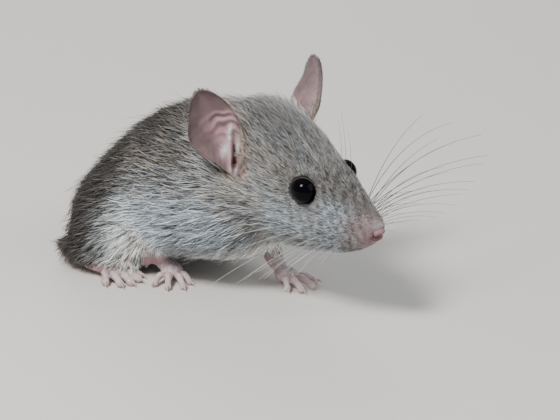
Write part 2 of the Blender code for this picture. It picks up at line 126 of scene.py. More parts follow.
def span(*parts: Array) -> Array:
    """Distance told by its parts at right angles: the root of the sum of their squares."""
    return size_of(np.stack(parts, axis=-1))


def compass(angle: float, rise: float = 0.0) -> Array:
    """The way ahead turned to the left by an angle in radians, with a rise."""
    return np.array([math.cos(angle), math.sin(angle), rise])


def level_side(along: Array) -> Array:
    """Level unit vectors to the left of the ways that a line takes."""
    return unit(np.cross(UP, along))


def sphere_grid(rows: int, around: int) -> Array:
    """Unit vectors (cos a cos t, sin a cos t, sin t) in rows of tilt t from below to above, no poles."""
    tilt = np.linspace(-math.pi / 2, math.pi / 2, rows + 2)[1:-1, None]
    angle = np.arange(around)[None, :] * math.tau / around
    level = np.cos(tilt)
    return np.stack([np.cos(angle) * level, np.sin(angle) * level, np.sin(tilt) + 0 * angle], -1)


def smooth_rows(rows: Sequence, count: int) -> Array:
    """Catmull-Rom curve through the rows of a table.

    Args:
        rows: The table, one row for each station.
        count: How many rows to return, evenly spread by row number.

    Returns:
        An array of count rows.
    """
    rows = np.asarray(rows, float)
    padded = np.vstack([2 * rows[0] - rows[1], rows, 2 * rows[-1] - rows[-2]])
    place = np.linspace(0, len(rows) - 1, count)
    index = np.minimum(place.astype(int), len(rows) - 2)
    t = (place - index)[:, None]
    a, b, c, d = (padded[index + k] for k in range(4))
    return 0.5 * (2 * b + (c - a) * t + (2 * a - 5 * b + 4 * c - d) * t**2 + (3 * b - a - 3 * c + d) * t**3)


def near_segment(points: Array, start: Array, end: Array) -> tuple[Array, Array]:
    """Distance of points from a line piece, and how far along it the nearest place is, from 0 to 1."""
    start, along = np.asarray(start, float), np.asarray(end, float) - np.asarray(start, float)
    share = np.clip((points - start) @ along / (along @ along), 0, 1)
    return size_of(points - start - share[:, None] * along), share


# ---------------------------------------------------------------- surfaces


@dataclass
class Surface:
    """Points and triangles in millimetres, with four-part values carried on the points."""

    points: Array
    faces: Array
    values: dict[str, Array] = field(default_factory=dict)
    uv: Array | None = None

    def painted(self, name: str, *channels: Array | float) -> "Surface":
        """Stores up to four channels as one named value and returns the surface."""
        stack = np.zeros((len(self.points), 4))
        for k, channel in enumerate(channels):
            stack[:, k] = channel
        self.values[name] = stack
        return self

    def normals(self) -> Array:
        """Normals at the points: the sum of the area vectors of the triangles around each."""
        corners = self.points[self.faces]
        area = np.cross(corners[:, 1] - corners[:, 0], corners[:, 2] - corners[:, 0])
        total = np.zeros_like(self.points)
        for k in range(3):
            np.add.at(total, self.faces[:, k], area)
        return unit(total)

    def edges(self) -> Array:
        """Each edge once, as a pair of point numbers."""
        pairs = np.concatenate([self.faces[:, [0, 1]], self.faces[:, [1, 2]], self.faces[:, [2, 0]]])
        return np.unique(np.sort(pairs, axis=1), axis=0)

    def eased(self, values: Array, rounds: int) -> Array:
        """Values averaged with those of the points next to each, round after round."""
        edges = self.edges()
        shape = (len(self.points),) + (1,) * (values.ndim - 1)
        count = np.bincount(edges.ravel(), minlength=len(self.points)).reshape(shape)
        for _ in range(rounds):
            total = np.zeros_like(values)
            np.add.at(total, edges[:, 0], values[edges[:, 1]])
            np.add.at(total, edges[:, 1], values[edges[:, 0]])
            values = 0.5 * values + 0.5 * total / np.maximum(count, 1)
        return values


@dataclass
class NearestPoints:
    """The nearest of many points for any place, found once for each cell of a grid."""

    points: Array
    cell: float = 0.8
    margin: float = 9.0

    def __post_init__(self) -> None:
        """Fills the grid: cells that hold a point name it, and their neighbours take the nearer name."""
        self.low = self.points.min(0) - self.margin
        shape = tuple(((self.points.max(0) + self.margin - self.low) / self.cell).astype(int) + 2)
        index = ((self.points - self.low) / self.cell).astype(int)
        self.names = np.full(shape, -1)
        self.names[tuple(index.T)] = np.arange(len(self.points))
        cells = np.stack(np.meshgrid(*[np.arange(n) for n in shape], indexing="ij"), -1)
        middle = cells * self.cell + self.low + 0.5 * self.cell
        away = np.where(self.names >= 0, size_of(self.points[self.names] - middle), FAR_AWAY)
        for _ in range(int(self.margin / self.cell)):
            for axis in range(3):
                for step in (-1, 1):
                    names = np.roll(self.names, step, axis)
                    trial = np.where(names >= 0, size_of(self.points[names] - middle), FAR_AWAY)
                    closer = trial < away
                    self.names = np.where(closer, names, self.names)
                    away = np.where(closer, trial, away)

    def at(self, places: Array) -> Array:
        """Number of the nearest point for each place."""
        index = ((places - self.low) / self.cell).astype(int)
        return self.names[tuple(np.clip(index, 0, np.array(self.names.shape) - 1).T)]


def joined(surfaces: Sequence[Surface]) -> Surface:
    """Several surfaces as one, with the values that all of them carry."""
    offsets = np.cumsum([0] + [len(s.points) for s in surfaces[:-1]])
    names = set.intersection(*[set(s.values) for s in surfaces])
    return Surface(
        np.vstack([s.points for s in surfaces]),
        np.vstack([s.faces + k for s, k in zip(surfaces, offsets)]),
        {name: np.vstack([s.values[name] for s in surfaces]) for name in sorted(names)},
    )


def triangles(a: Array, b: Array, c: Array, d: Array) -> Array:
    """Two triangles for each four-sided face, from the point numbers of its corners in order."""
    return np.concatenate([np.stack([a, b, c], -1).reshape(-1, 3), np.stack([a, c, d], -1).reshape(-1, 3)])


def ring_surface(rings: Array) -> Surface:
    """A closed skin over rings of points, capped at both ends by a middle point.

    Args:
        rings: Points as rows of rings, shaped rows by points by three.

    Returns:
        The surface, its triangles turned outwards.
    """
    rows, around, _ = rings.shape
    i, j = np.meshgrid(np.arange(rows - 1), np.arange(around), indexing="ij")
    k = (j + 1) % around
    sides = triangles(i * around + j, i * around + k, (i + 1) * around + k, (i + 1) * around + j)
    rim = np.arange(around)
    after = (rim + 1) % around
    first = np.stack([np.full(around, rows * around), after, rim], -1)
    last = (rows - 1) * around
    second = np.stack([np.full(around, rows * around + 1), last + rim, last + after], -1)
    points = np.vstack([rings.reshape(-1, 3), rings[0].mean(0), rings[-1].mean(0)])
    faces = np.vstack([sides, first, second])
    corners = points[faces] - points.mean(0)
    if dot(corners[:, 0], np.cross(corners[:, 1], corners[:, 2])).sum() < 0:
        faces = faces[:, ::-1]
    return Surface(points, faces)


def oval_rings(
    centres: Array, sides: Array, ups: Array, widths: Array, tops: Array, bottoms: Array, around: int
) -> Array:
    """Rings that are half ovals above and below the level of greatest width.

    Each point is centre + cos(angle) width side + sin(angle) height up, with height the top or the
    bottom.

    Args:
        centres: Middle of each ring, at its level of greatest width.
        sides: The way across each ring, or one for all.
        ups: The way up, likewise.
        widths: Half width of each ring.
        tops: Its height above the centre.
        bottoms: Its depth below the centre.
        around: Points in a ring.

    Returns:
        The points, shaped rings by around by three.
    """
    angles = np.arange(around) * math.tau / around
    across = np.cos(angles)[None, :, None] * widths[:, None, None]
    rise = np.sin(angles)[None, :]
    height = np.where(rise > 0, rise * tops[:, None], rise * bottoms[:, None])
    sides, ups = (np.broadcast_to(ways, centres.shape)[:, None, :] for ways in (sides, ups))
    return centres[:, None, :] + across * sides + height[:, :, None] * ups


def pipe(path: Array, side: Array, along: Array, radii: Array, around: int, flatten: float = 1.0) -> Array:
    """Rings of a pipe that runs along the path, with its height a share of its width."""
    return oval_rings(path, side, np.cross(along, side), radii, radii * flatten, radii * flatten, around)


def tube(path: Sequence, radii: Sequence, around: int = 20, count: int = 30, flatten: float = 1.0) -> Surface:
    """A round tube along a smooth path, with domed ends.

    Args:
        path: Places that the middle line passes through.
        radii: The tube's radius at each of them.
        around: Points in a ring.
        count: Rings between the domes.
        flatten: Height of the section as a share of its width.

    Returns:
        The closed surface.
    """
    rows = smooth_rows(np.column_stack([np.asarray(path, float), radii]), count)
    along = unit(np.gradient(rows[:, :3], axis=0))
    dome = np.radians(DOME_TILTS)
    first, last = rows[0, 3], rows[-1, 3]
    centres = np.vstack(
        [
            rows[0, :3] - np.outer(np.sin(dome), along[0]) * first,
            rows[:, :3],
            rows[-1, :3] + np.outer(np.sin(dome[::-1]), along[-1]) * last,
        ]
    )
    radius = np.concatenate([np.cos(dome) * first, rows[:, 3], np.cos(dome[::-1]) * last])
    along = np.vstack([np.tile(along[0], (len(dome), 1)), along, np.tile(along[-1], (len(dome), 1))])
    return ring_surface(pipe(centres, level_side(along), along, radius, around, flatten))


def ball(centre: Array, radii: Sequence, turn: float = 0.0, rows: int = 15, around: int = 28) -> Surface:
    """An ellipsoid with half lengths ahead, aside and up, turned about the vertical by radians."""
    c, s = math.cos(turn), math.sin(turn)
    spin = np.array([[c, -s, 0], [s, c, 0], UP])
    return ring_surface(sphere_grid(rows, around) * np.asarray(radii) @ spin.T + np.asarray(centre, float))


def mesh_of(name: str, surface: Surface, shift: Array) -> bpy.types.Mesh:
    """A mesh in metres from a surface in millimetres moved by shift, with its values and its map."""
    mesh = bpy.data.meshes.new(name)
    faces = surface.faces.astype(np.int32)
    mesh.vertices.add(len(surface.points))
    mesh.vertices.foreach_set("co", ((surface.points + shift) * MM).astype(np.float32).ravel())
    mesh.loops.add(faces.size)
    mesh.loops.foreach_set("vertex_index", faces.ravel())
    mesh.polygons.add(len(faces))
    mesh.polygons.foreach_set("loop_start", np.arange(0, faces.size, 3, dtype=np.int32))
    mesh.polygons.foreach_set("use_smooth", np.ones(len(faces), bool))
    mesh.update(calc_edges=True)
    for label, value in surface.values.items():
        layer = mesh.attributes.new(label, "FLOAT_COLOR", "POINT")
        layer.data.foreach_set("color", value.astype(np.float32).ravel())
    if surface.uv is not None:
        layer = mesh.uv_layers.new(name="OFBake")
        layer.data.foreach_set("uv", surface.uv[faces.ravel()].astype(np.float32).ravel())
    return mesh


def fused(surfaces: Sequence[Surface], voxel: float, smoothing: int) -> Surface:
    """One closed skin over several overlapping closed surfaces.

    Args:
        surfaces: The overlapping surfaces.
        voxel: Size of the cells that the skin is drawn on.
        smoothing: Rounds of smoothing that round off the creases between them.

    Returns:
        The skin as triangles.
    """
    obj = bpy.data.objects.new("fuse", mesh_of("fuse", joined(surfaces), np.zeros(3)))
    bpy.context.scene.collection.objects.link(obj)
    remesh = obj.modifiers.new("fuse", "REMESH")
    remesh.mode = "VOXEL"
    remesh.voxel_size = voxel * MM
    ease = obj.modifiers.new("ease", "SMOOTH")
    ease.iterations = smoothing
    graph = bpy.context.evaluated_depsgraph_get()
    mesh = bpy.data.meshes.new_from_object(obj.evaluated_get(graph))
    mesh.calc_loop_triangles()
    points = np.empty(len(mesh.vertices) * 3, np.float32)
    mesh.vertices.foreach_get("co", points)
    faces = np.empty(len(mesh.loop_triangles) * 3, np.int32)
    mesh.loop_triangles.foreach_get("vertices", faces)
    bpy.data.objects.remove(obj)
    bpy.data.meshes.remove(mesh)
    return Surface(points.reshape(-1, 3).astype(float) / MM, faces.reshape(-1, 3))


# ---------------------------------------------------------------- the animal's build


class Side(Enum):
    """The animal's right and left, as signs of y."""

    RIGHT = -1
    LEFT = 1

    @property
    def label(self) -> str:
        """The word used in node names."""
        return self.name.lower()


@dataclass(frozen=True)
class HeadCarriage:
    """Where the head is held: its nose tip, and how far it is turned, lowered and tilted, in degrees."""

    nose_tip: Triple = (57.6, 0.1, 21.7)
    yaw: float = 0.4
    pitch: float = 22.8
    roll: float = 5.7
    eye: Triple = (-17, 5.8, 0.2)
    eye_radius: float = 2.9

    def axes(self) -> Array:
        """Forward, left and up of the head as rows."""
        yaw, pitch, roll = np.radians([self.yaw, self.pitch, self.roll])
        level = math.cos(pitch)
        forward = np.array([level * math.cos(yaw), level * math.sin(yaw), -math.sin(pitch)])
        side = np.array([-math.sin(yaw), math.cos(yaw), 0])
        left = side * math.cos(roll) + np.cross(forward, side) * math.sin(roll)
        return np.array([forward, left, np.cross(forward, left)])

    def place(self, local: Array) -> Array:
        """Places in the animal's frame from distances ahead, left and up of the nose tip."""
        return self.nose_tip + np.asarray(local, float) @ self.axes()

    def local(self, points: Array) -> tuple[Array, Array, Array]:
        """Distances behind, left and up of the nose tip."""
        ahead, left, up = ((points - self.nose_tip) @ self.axes().T).T
        return -ahead, left, up

    def eye_centre(self, side: Side) -> Array:
        """Middle of one eyeball."""
        return self.place([self.eye[0], self.eye[1] * side.value, self.eye[2]])

    def eye_axis(self, side: Side) -> Array:
        """The way one eye looks: outwards, a little ahead and up."""
        return unit(np.array([0.28, 0.9 * side.value, 0.34])) @ self.axes()


@dataclass(frozen=True)
class Limb:
    """The joints of one foreleg, with the heading of its paw in degrees."""

    shoulder: Triple
    elbow: Triple
    wrist: Triple
    palm: Triple
    heading: float


@dataclass(frozen=True)
class EarStance:
    """Root of an ear, the way it rises, the way its opening faces and how far its back edge is folded in."""

    root: Triple
    rise: Triple
    face: Triple
    turn: int
    fold: float

    def axes(self) -> Array:
        """Rise, front and face of the ear as rows at right angles."""
        rise = unit(np.array(self.rise))
        face = unit(np.array(self.face) - np.dot(self.face, rise) * rise)
        return np.array([rise, np.cross(rise, face) * self.turn, face])

    def local(self, points: Array) -> tuple[Array, Array, Array]:
        """Height, reach to the front and distance to the open side."""
        height, reach, out = ((points - self.root) @ self.axes().T).T
        return height, reach, out


@dataclass(frozen=True)
class Build:
    """Stations and joints that the solids and the skin share, in millimetres and degrees.

    A head station is its distance behind the nose tip, its level of greatest width, half width, top
    and bottom. A trunk station is its x, y and level of greatest width, half width, back and belly.
    The thigh is a middle, radii and a turn, the haunch a middle and radii, and the hind foot its
    heel, instep and ball, all three given for the left.
    """

    head: HeadCarriage = HeadCarriage()
    head_stations: tuple = (
        (-0.7, -0.8, 1.4, 1.1, -2.6), (0.2, -1.2, 2.6, 1.7, -4.9),
        (1.8, -1.8, 3.5, 2, -7.4), (4, -2.4, 4.4, 2.5, -9.5),
        (6.5, -2.9, 5.3, 3.3, -11.8), (9.5, -3.4, 6.2, 4.3, -13.8),
        (13, -3.8, 7, 5.4, -16), (17, -4.2, 8.1, 6.4, -18.2),
        (21, -4.5, 9.2, 7.3, -19.8), (26, -4.8, 10.3, 7.9, -21.2),
        (31, -4.8, 11.2, 7.6, -21.8), (36, -4.5, 11.5, 6.8, -21.4),
        (40, -4, 10.5, 5.8, -19), (42.5, -3.5, 6, 4, -12),
    )
    trunk_stations: tuple = (
        (-26, 0, 8, 2.5, 10.6, 5.4), (-24.8, 0, 8.2, 6.4, 13.2, 4.2),
        (-22, 0, 9, 10, 16.6, 3.4), (-18, 0, 10.2, 12.4, 20.8, 3.2),
        (-14, 0, 11.8, 13.9, 25, 3.4), (-9, 0, 14, 15.4, 29.8, 3.6),
        (-4, 0, 16, 16.6, 33.6, 3.8), (2, 0, 18, 17.2, 36.5, 4),
        (8, 0, 19.6, 17, 38.4, 4.2), (14, 0.2, 21.3, 16, 39.8, 4.8),
        (20, 0.6, 23.4, 14.6, 41, 6.2), (25, 1, 25.8, 13, 41.8, 8.8),
        (30, 1.2, 28.5, 11, 41, 13.2), (34, 1.2, 30, 8.5, 38.5, 19),
        (37, 1.2, 30.5, 4, 34, 26),
    )
    nape: tuple = (14.6, 0, 42)
    neck_lean: float = 30.0
    thigh: tuple = ((-8.5, 10.2, 9.8), (11.9, 8.6, 9.6), 8)
    haunch: tuple = ((-10.2, 11.8, 3.2), (11.4, 9.2, 5))
    hind_foot: tuple = ((-19.4, 14.4, 2.3), (-10.6, 15.6, 2), (-3.6, 17, 1.5))
    hind_heading: float = 11.0
    fore: tuple[Limb, Limb] = (
        Limb((12, -9.4, 18), (4.4, -10.4, 10.6), (2.4, -8.6, 3.6), (6, -8.9, 1.9), -41),
        Limb((18, 9.4, 18.4), (14, 11, 10.4), (21.6, 6.8, 3.8), (25.6, 5.8, 1.9), -6),
    )
    ears: tuple[EarStance, EarStance] = (
        EarStance((27.7, -10, 33.4), (-0.483, -0.285, 0.828), (0.705, -0.687, 0.176), 1, 0.14),
        EarStance((27.8, 10.6, 33.7), (-0.355, 0.500, 0.790), (0.398, 0.848, -0.356), -1, 0.42),
    )
    tail_path: tuple = (
        (-21.5, 0.2, 8.8), (-27.5, 1.6, 7.2), (-33, 6.6, 4.4), (-36.6, 16, 2.6),
        (-37, 28, 2.3), (-32.6, 40, 2.1), (-24.4, 49.6, 1.9), (-13.4, 55.6, 1.7),
        (-2.2, 56.4, 1.5), (6.4, 51.4, 1.3), (9.8, 42.8, 1.1), (7.2, 34.2, 0.9),
        (-0.6, 29.4, 0.7),
    )
    tail_radii: Pair = (3, 0.6)

    def limb(self, side: Side) -> Limb:
        """Foreleg of one side."""
        return self.fore[0 if side is Side.RIGHT else 1]

    def ear(self, side: Side) -> EarStance:
        """Ear of one side."""
        return self.ears[0 if side is Side.RIGHT else 1]

    def mirrored(self, place: Sequence[float], side: Side) -> Array:
        """A place given for the left, on the given side."""
        return np.asarray(place, float) * np.array([1, side.value, 1])

    def headness(self, points: Array) -> Array:
        """Share of the head, from 0 on the trunk to 1 ahead of the slanting line of the neck."""
        lean = math.radians(self.neck_lean)
        ahead = (points - self.nape) @ np.array([math.cos(lean), 0, math.sin(lean)])
        return ramp(ahead, -6, 3)

    def forelimb_share(self, points: Array, side: Side) -> tuple[Array, Array]:
        """How much each point belongs to one forearm, and how far down it the point is."""
        limb = self.limb(side)
        distance, share = near_segment(points, limb.elbow, limb.wrist)
        return fall(distance, 3.2, 5.4) * fall(points[:, 2], 9.5, 13), share

    def hind_foot_share(self, points: Array, side: Side) -> Array:
        """How much each point belongs to one hind foot below its thigh."""
        heel, _, ball_at = (self.mirrored(p, side) for p in self.hind_foot)
        toe = ball_at + (ball_at - heel) * 0.4
        distance, _ = near_segment(points, heel, toe)
        return fall(distance, 3, 4.4) * fall(points[:, 2], 3.6, 5.5)

    def paw_share(self, points: Array, side: Side) -> tuple[Array, Array]:
        """How much each point belongs to one forepaw, and how far along it the point is."""
        limb = self.limb(side)
        end = limb.palm + compass(math.radians(limb.heading)) * 6.5
        distance, share = near_segment(points, limb.wrist, end)
        return fall(distance, 3.4, 4.6) * fall(points[:, 2], 5, 6.6), share

    def trunk_share(self, points: Array) -> tuple[Array, Array]:
        """Height from 0 at the belly to 1 at the back, and distance from the middle over the half width."""
        table = np.asarray(self.trunk_stations)
        middle, width, back, belly = (np.interp(points[:, 0], table[:, 0], table[:, k]) for k in (1, 3, 4, 5))
        return (points[:, 2] - belly) / (back - belly), np.abs(points[:, 1] - middle) / width

    def ear_outline(self, height: Array) -> tuple[Array, Array]:
        """Reach of the ear to its front and back edges at each height."""
        table = np.asarray(EarShape.outline)
        return np.interp(height, table[:, 0], table[:, 1]), np.interp(height, table[:, 0], table[:, 2])

    def ear_base(self, points: Array, stance: EarStance) -> Array:
        """Share of the place behind the base of one ear, where the hair is pale and stands."""
        level, reach, out = stance.local(points)
        return bump(span(0.8 * level, 0.6 * (reach - 0.5), out + 3.4), 2.8)

    def in_ear(self, points: Array) -> Array:
        """True inside the bowl of either ear, where no coat grows."""
        found = np.zeros(len(points), bool)
        for stance in self.ears:
            height, reach, out = stance.local(points)
            ahead, behind = self.ear_outline(height)
            inside = (height > -3.4) & (height < 16) & (reach < ahead - 0.2) & (reach > -behind + 0.2)
            found |= inside & (out > -4.2) & (out < 1.3)
        return found


# ---------------------------------------------------------------- finishes


@dataclass(frozen=True)
class NodeTree:
    """Short calls for building a node tree.

    The numbers are those of the Mix node's sockets for colours, whose names other sockets share.
    """

    tree: bpy.types.NodeTree
    mix_inputs: tuple[int, int, int] = (0, 6, 7)
    mix_output: int = 2

    def node(self, kind: str, **settings: object) -> bpy.types.Node:
        """A new node with its settings."""
        made = self.tree.nodes.new(kind)
        for name, value in settings.items():
            setattr(made, name, value)
        return made

    def link(self, source: Socket, target: Socket) -> None:
        """Joins two sockets."""
        self.tree.links.new(source, target)

    def mix(self, share: object, first: object, second: object, mode: str = "MIX") -> Socket:
        """A mix of two colours by a share, each of them a socket or plain numbers."""
        made = self.node("ShaderNodeMix", data_type="RGBA", blend_type=mode)
        for number, value in zip(self.mix_inputs, (share, first, second)):
            if isinstance(value, Socket):
                self.link(value, made.inputs[number])
            else:
                made.inputs[number].default_value = value
        return made.outputs[self.mix_output]

    def ramp(self, share: Socket, stops: Sequence[Pair]) -> Socket:
        """A ramp of greys with a place and a level for each stop."""
        made = self.node("ShaderNodeValToRGB")
        elements = made.color_ramp.elements
        while len(elements) < len(stops):
            elements.new(0.5)
        for element, (place, level) in zip(elements, stops):
            element.position = place
            element.color = (level, level, level, 1)
        self.link(share, made.inputs[0])
        return made.outputs[0]

    def noise(self, coords: Socket, scale: float, detail: float = 3.0) -> Socket:
        """A noise pattern's value at the coordinates."""
        made = self.node("ShaderNodeTexNoise")
        made.inputs["Scale"].default_value = scale
        made.inputs["Detail"].default_value = detail
        self.link(coords, made.inputs["Vector"])
        return made.outputs[0]

    def channels(self, name: str) -> list[Socket]:
        """The four channels of a value carried on the points."""
        source = self.node("ShaderNodeAttribute", attribute_name=name)
        parts = self.node("ShaderNodeSeparateColor")
        self.link(source.outputs["Color"], parts.inputs[0])
        return [*parts.outputs, source.outputs["Alpha"]]

    def pelt(self) -> bpy.types.Node:
        """The pelt group, fed with the region shares that the points carry."""
        made = self.node("ShaderNodeGroup", node_tree=PeltColours().group())
        for socket, target in zip(self.channels("marks"), REGIONS):
            self.link(socket, made.inputs[target])
        return made


@dataclass(frozen=True)
class PeltColours:
    """Colours of the coat by region, shared by the locks and by the skin under them.

    Bands are the levels of grey from a hair's root to its tip, and tones those from the darkest
    hair to the lightest. Both multiply the colour.
    """

    brown: tuple = (0.245, 0.240, 0.235, 1)
    silver: tuple = (0.50, 0.575, 0.64, 1)
    cream: tuple = (0.92, 0.93, 0.90, 1)
    ochre: tuple = (0.44, 0.35, 0.24, 1)
    black: tuple = (0.045, 0.040, 0.037, 1)
    bands: tuple = ((0, 0.34), (0.3, 0.6), (0.6, 1), (0.86, 1.1), (1, 0.85))
    tones: tuple = ((0, 0.25), (0.5, 0.95), (1, 1.75))
    group_name: str = "pelt"

    def group(self) -> bpy.types.NodeTree:
        """The node group that turns region shares, place along the hair and tone into a colour."""
        found = bpy.data.node_groups.get(self.group_name)
        if found:
            return found
        made = bpy.data.node_groups.new(self.group_name, "ShaderNodeTree")
        for name in (*REGIONS, "Along", "Tone"):
            made.interface.new_socket(name, in_out="INPUT", socket_type="NodeSocketFloat")
        made.interface.new_socket("Colour", in_out="OUTPUT", socket_type="NodeSocketColor")
        tree = NodeTree(made)
        inlet = tree.node("NodeGroupInput").outputs
        colour = tree.mix(inlet["Silver"], self.brown, self.silver)
        colour = tree.mix(inlet["Ochre"], colour, self.ochre)
        colour = tree.mix(inlet["Cream"], colour, self.cream)
        colour = tree.mix(inlet["Black"], colour, self.black)
        colour = tree.mix(1, colour, tree.ramp(inlet["Along"], self.bands), "MULTIPLY")
        colour = tree.mix(1, colour, tree.ramp(inlet["Tone"], self.tones), "MULTIPLY")
        tree.link(colour, tree.node("NodeGroupOutput").inputs[0])
        return made


@dataclass(frozen=True)
class Finish:
    """A surface finish, and the name of a slot, which nothing here reads."""

    name: str
    slot: str
    roughness: float
    colour: tuple = (0.5, 0.5, 0.5, 1)
    specular: float = 0.5

    def begin(self) -> tuple[bpy.types.Material, NodeTree, bpy.types.Node]:
        """A material with its Principled shader set from the fields."""
        material = bpy.data.materials.new(self.name)
        material.use_nodes = True
        shader = material.node_tree.nodes["Principled BSDF"]
        shader.inputs["Base Color"].default_value = self.colour
        shader.inputs["Roughness"].default_value = self.roughness
        shader.inputs["Specular IOR Level"].default_value = self.specular
        return material, NodeTree(material.node_tree), shader

    def material(self) -> bpy.types.Material:
        """The finished material."""
        return self.begin()[0]


@dataclass(frozen=True)
class CoatFinish(Finish):
    """Grizzled hair: region shares and each lock's own tone through the pelt group."""

    def material(self) -> bpy.types.Material:
        """Colours from the values that the locks carry."""
        material, tree, shader = self.begin()
        pelt = tree.pelt()
        along, tone, *_ = tree.channels("strand")
        tree.link(along, pelt.inputs["Along"])
        tree.link(tone, pelt.inputs["Tone"])
        tree.link(pelt.outputs[0], shader.inputs["Base Color"])
        return material


@dataclass(frozen=True)
class SkinFinish(Finish):
    """Skin: dark under the coat, pink where bare, dusky on ears and tail, red in creases, there as painted
    shade.

    The scales are those of noise patterns, to the metre, and the lengths are in metres.
    """

    pink: tuple = (0.53, 0.305, 0.325, 1)
    dusk: tuple = (0.095, 0.062, 0.062, 1)
    # Dark red: the own colour of nostrils and ear slits, and painted shade in creases.
    red: tuple = (0.10, 0.006, 0.016, 1)
    under_along: float = 0.45
    tone_scale: float = 1400.0
    mottle_scale: float = 420.0
    mottle: tuple = ((0.3, 0.78), (0.7, 1.18))
    pore_scale: float = 2600.0
    pore_detail: float = 4.0
    pore_depth: float = 0.25
    pore_size: float = 0.0001
    glow: float = 0.12
    glow_reach: tuple = (0.0012, 0.0005, 0.0003)

    def material(self) -> bpy.types.Material:
        """Pelt colour under the hair, blended to the bare colours by the masks on the points."""
        material, tree, shader = self.begin()
        coords = tree.node("ShaderNodeTexCoord").outputs["Object"]
        pelt = tree.pelt()
        pelt.inputs["Along"].default_value = self.under_along
        tree.link(tree.noise(coords, self.tone_scale), pelt.inputs["Tone"])
        bare, dusk, crease, _ = tree.channels("flesh")
        mottle = tree.ramp(tree.noise(coords, self.mottle_scale), self.mottle)
        pink = tree.mix(1, self.pink, mottle, "MULTIPLY")
        dusky = tree.mix(1, self.dusk, mottle, "MULTIPLY")
        colour = tree.mix(bare, pelt.outputs[0], pink)
        # Dusk and crease carry the skin's own dusky and red colour, and also painted shade in folds, creases
        # and hollows.
        colour = tree.mix(dusk, colour, dusky)
        colour = tree.mix(crease, colour, self.red)
        tree.link(colour, shader.inputs["Base Color"])
        relief = tree.node("ShaderNodeBump")
        relief.inputs["Strength"].default_value = self.pore_depth
        relief.inputs["Distance"].default_value = self.pore_size
        tree.link(tree.noise(coords, self.pore_scale, self.pore_detail), relief.inputs["Height"])
        tree.link(relief.outputs[0], shader.inputs["Normal"])
        shader.inputs["Subsurface Weight"].default_value = self.glow
        shader.inputs["Subsurface Radius"].default_value = self.glow_reach
        return material


@dataclass(frozen=True)
class FadingFinish(Finish):
    """A finish that passes from one colour at the root to another at the tip."""

    tip: tuple = (0.8, 0.75, 0.68, 1)

    def material(self) -> bpy.types.Material:
        """Root to tip along the value that the points carry."""
        material, tree, shader = self.begin()
        along = tree.channels("strand")[0]
        tree.link(tree.mix(along, self.colour, self.tip), shader.inputs["Base Color"])
        return material


@dataclass
class Workshop:
    """Turns surfaces in the animal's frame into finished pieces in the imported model's frame."""

    shift: Array
    made: dict[str, bpy.types.Material] = field(default_factory=dict)

    def finish(
        self, name: str, surface: Surface, finish: Finish, nodes: Sequence[str] = ()
    ) -> bpy.types.Object:
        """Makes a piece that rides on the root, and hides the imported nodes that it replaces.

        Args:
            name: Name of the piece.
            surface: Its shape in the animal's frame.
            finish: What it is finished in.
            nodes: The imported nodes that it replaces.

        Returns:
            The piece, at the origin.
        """
        obj = bpy.data.objects.new(name, mesh_of(name, surface, self.shift))
        bpy.context.scene.collection.objects.link(obj)
        if finish.name not in self.made:
            self.made[finish.name] = finish.material()
        obj.data.materials.append(self.made[finish.name])
        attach(obj, "root")
        if nodes:
            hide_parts(*nodes)
        LOG.info("%s: %d triangles", name, len(surface.faces))
        return obj


# ---------------------------------------------------------------- markings


def lift(marks: Array, column: int, share: Array) -> None:
    """Raises one column of the marks to the share wherever it is below it."""
    marks[:, column] = np.maximum(marks[:, column], share)


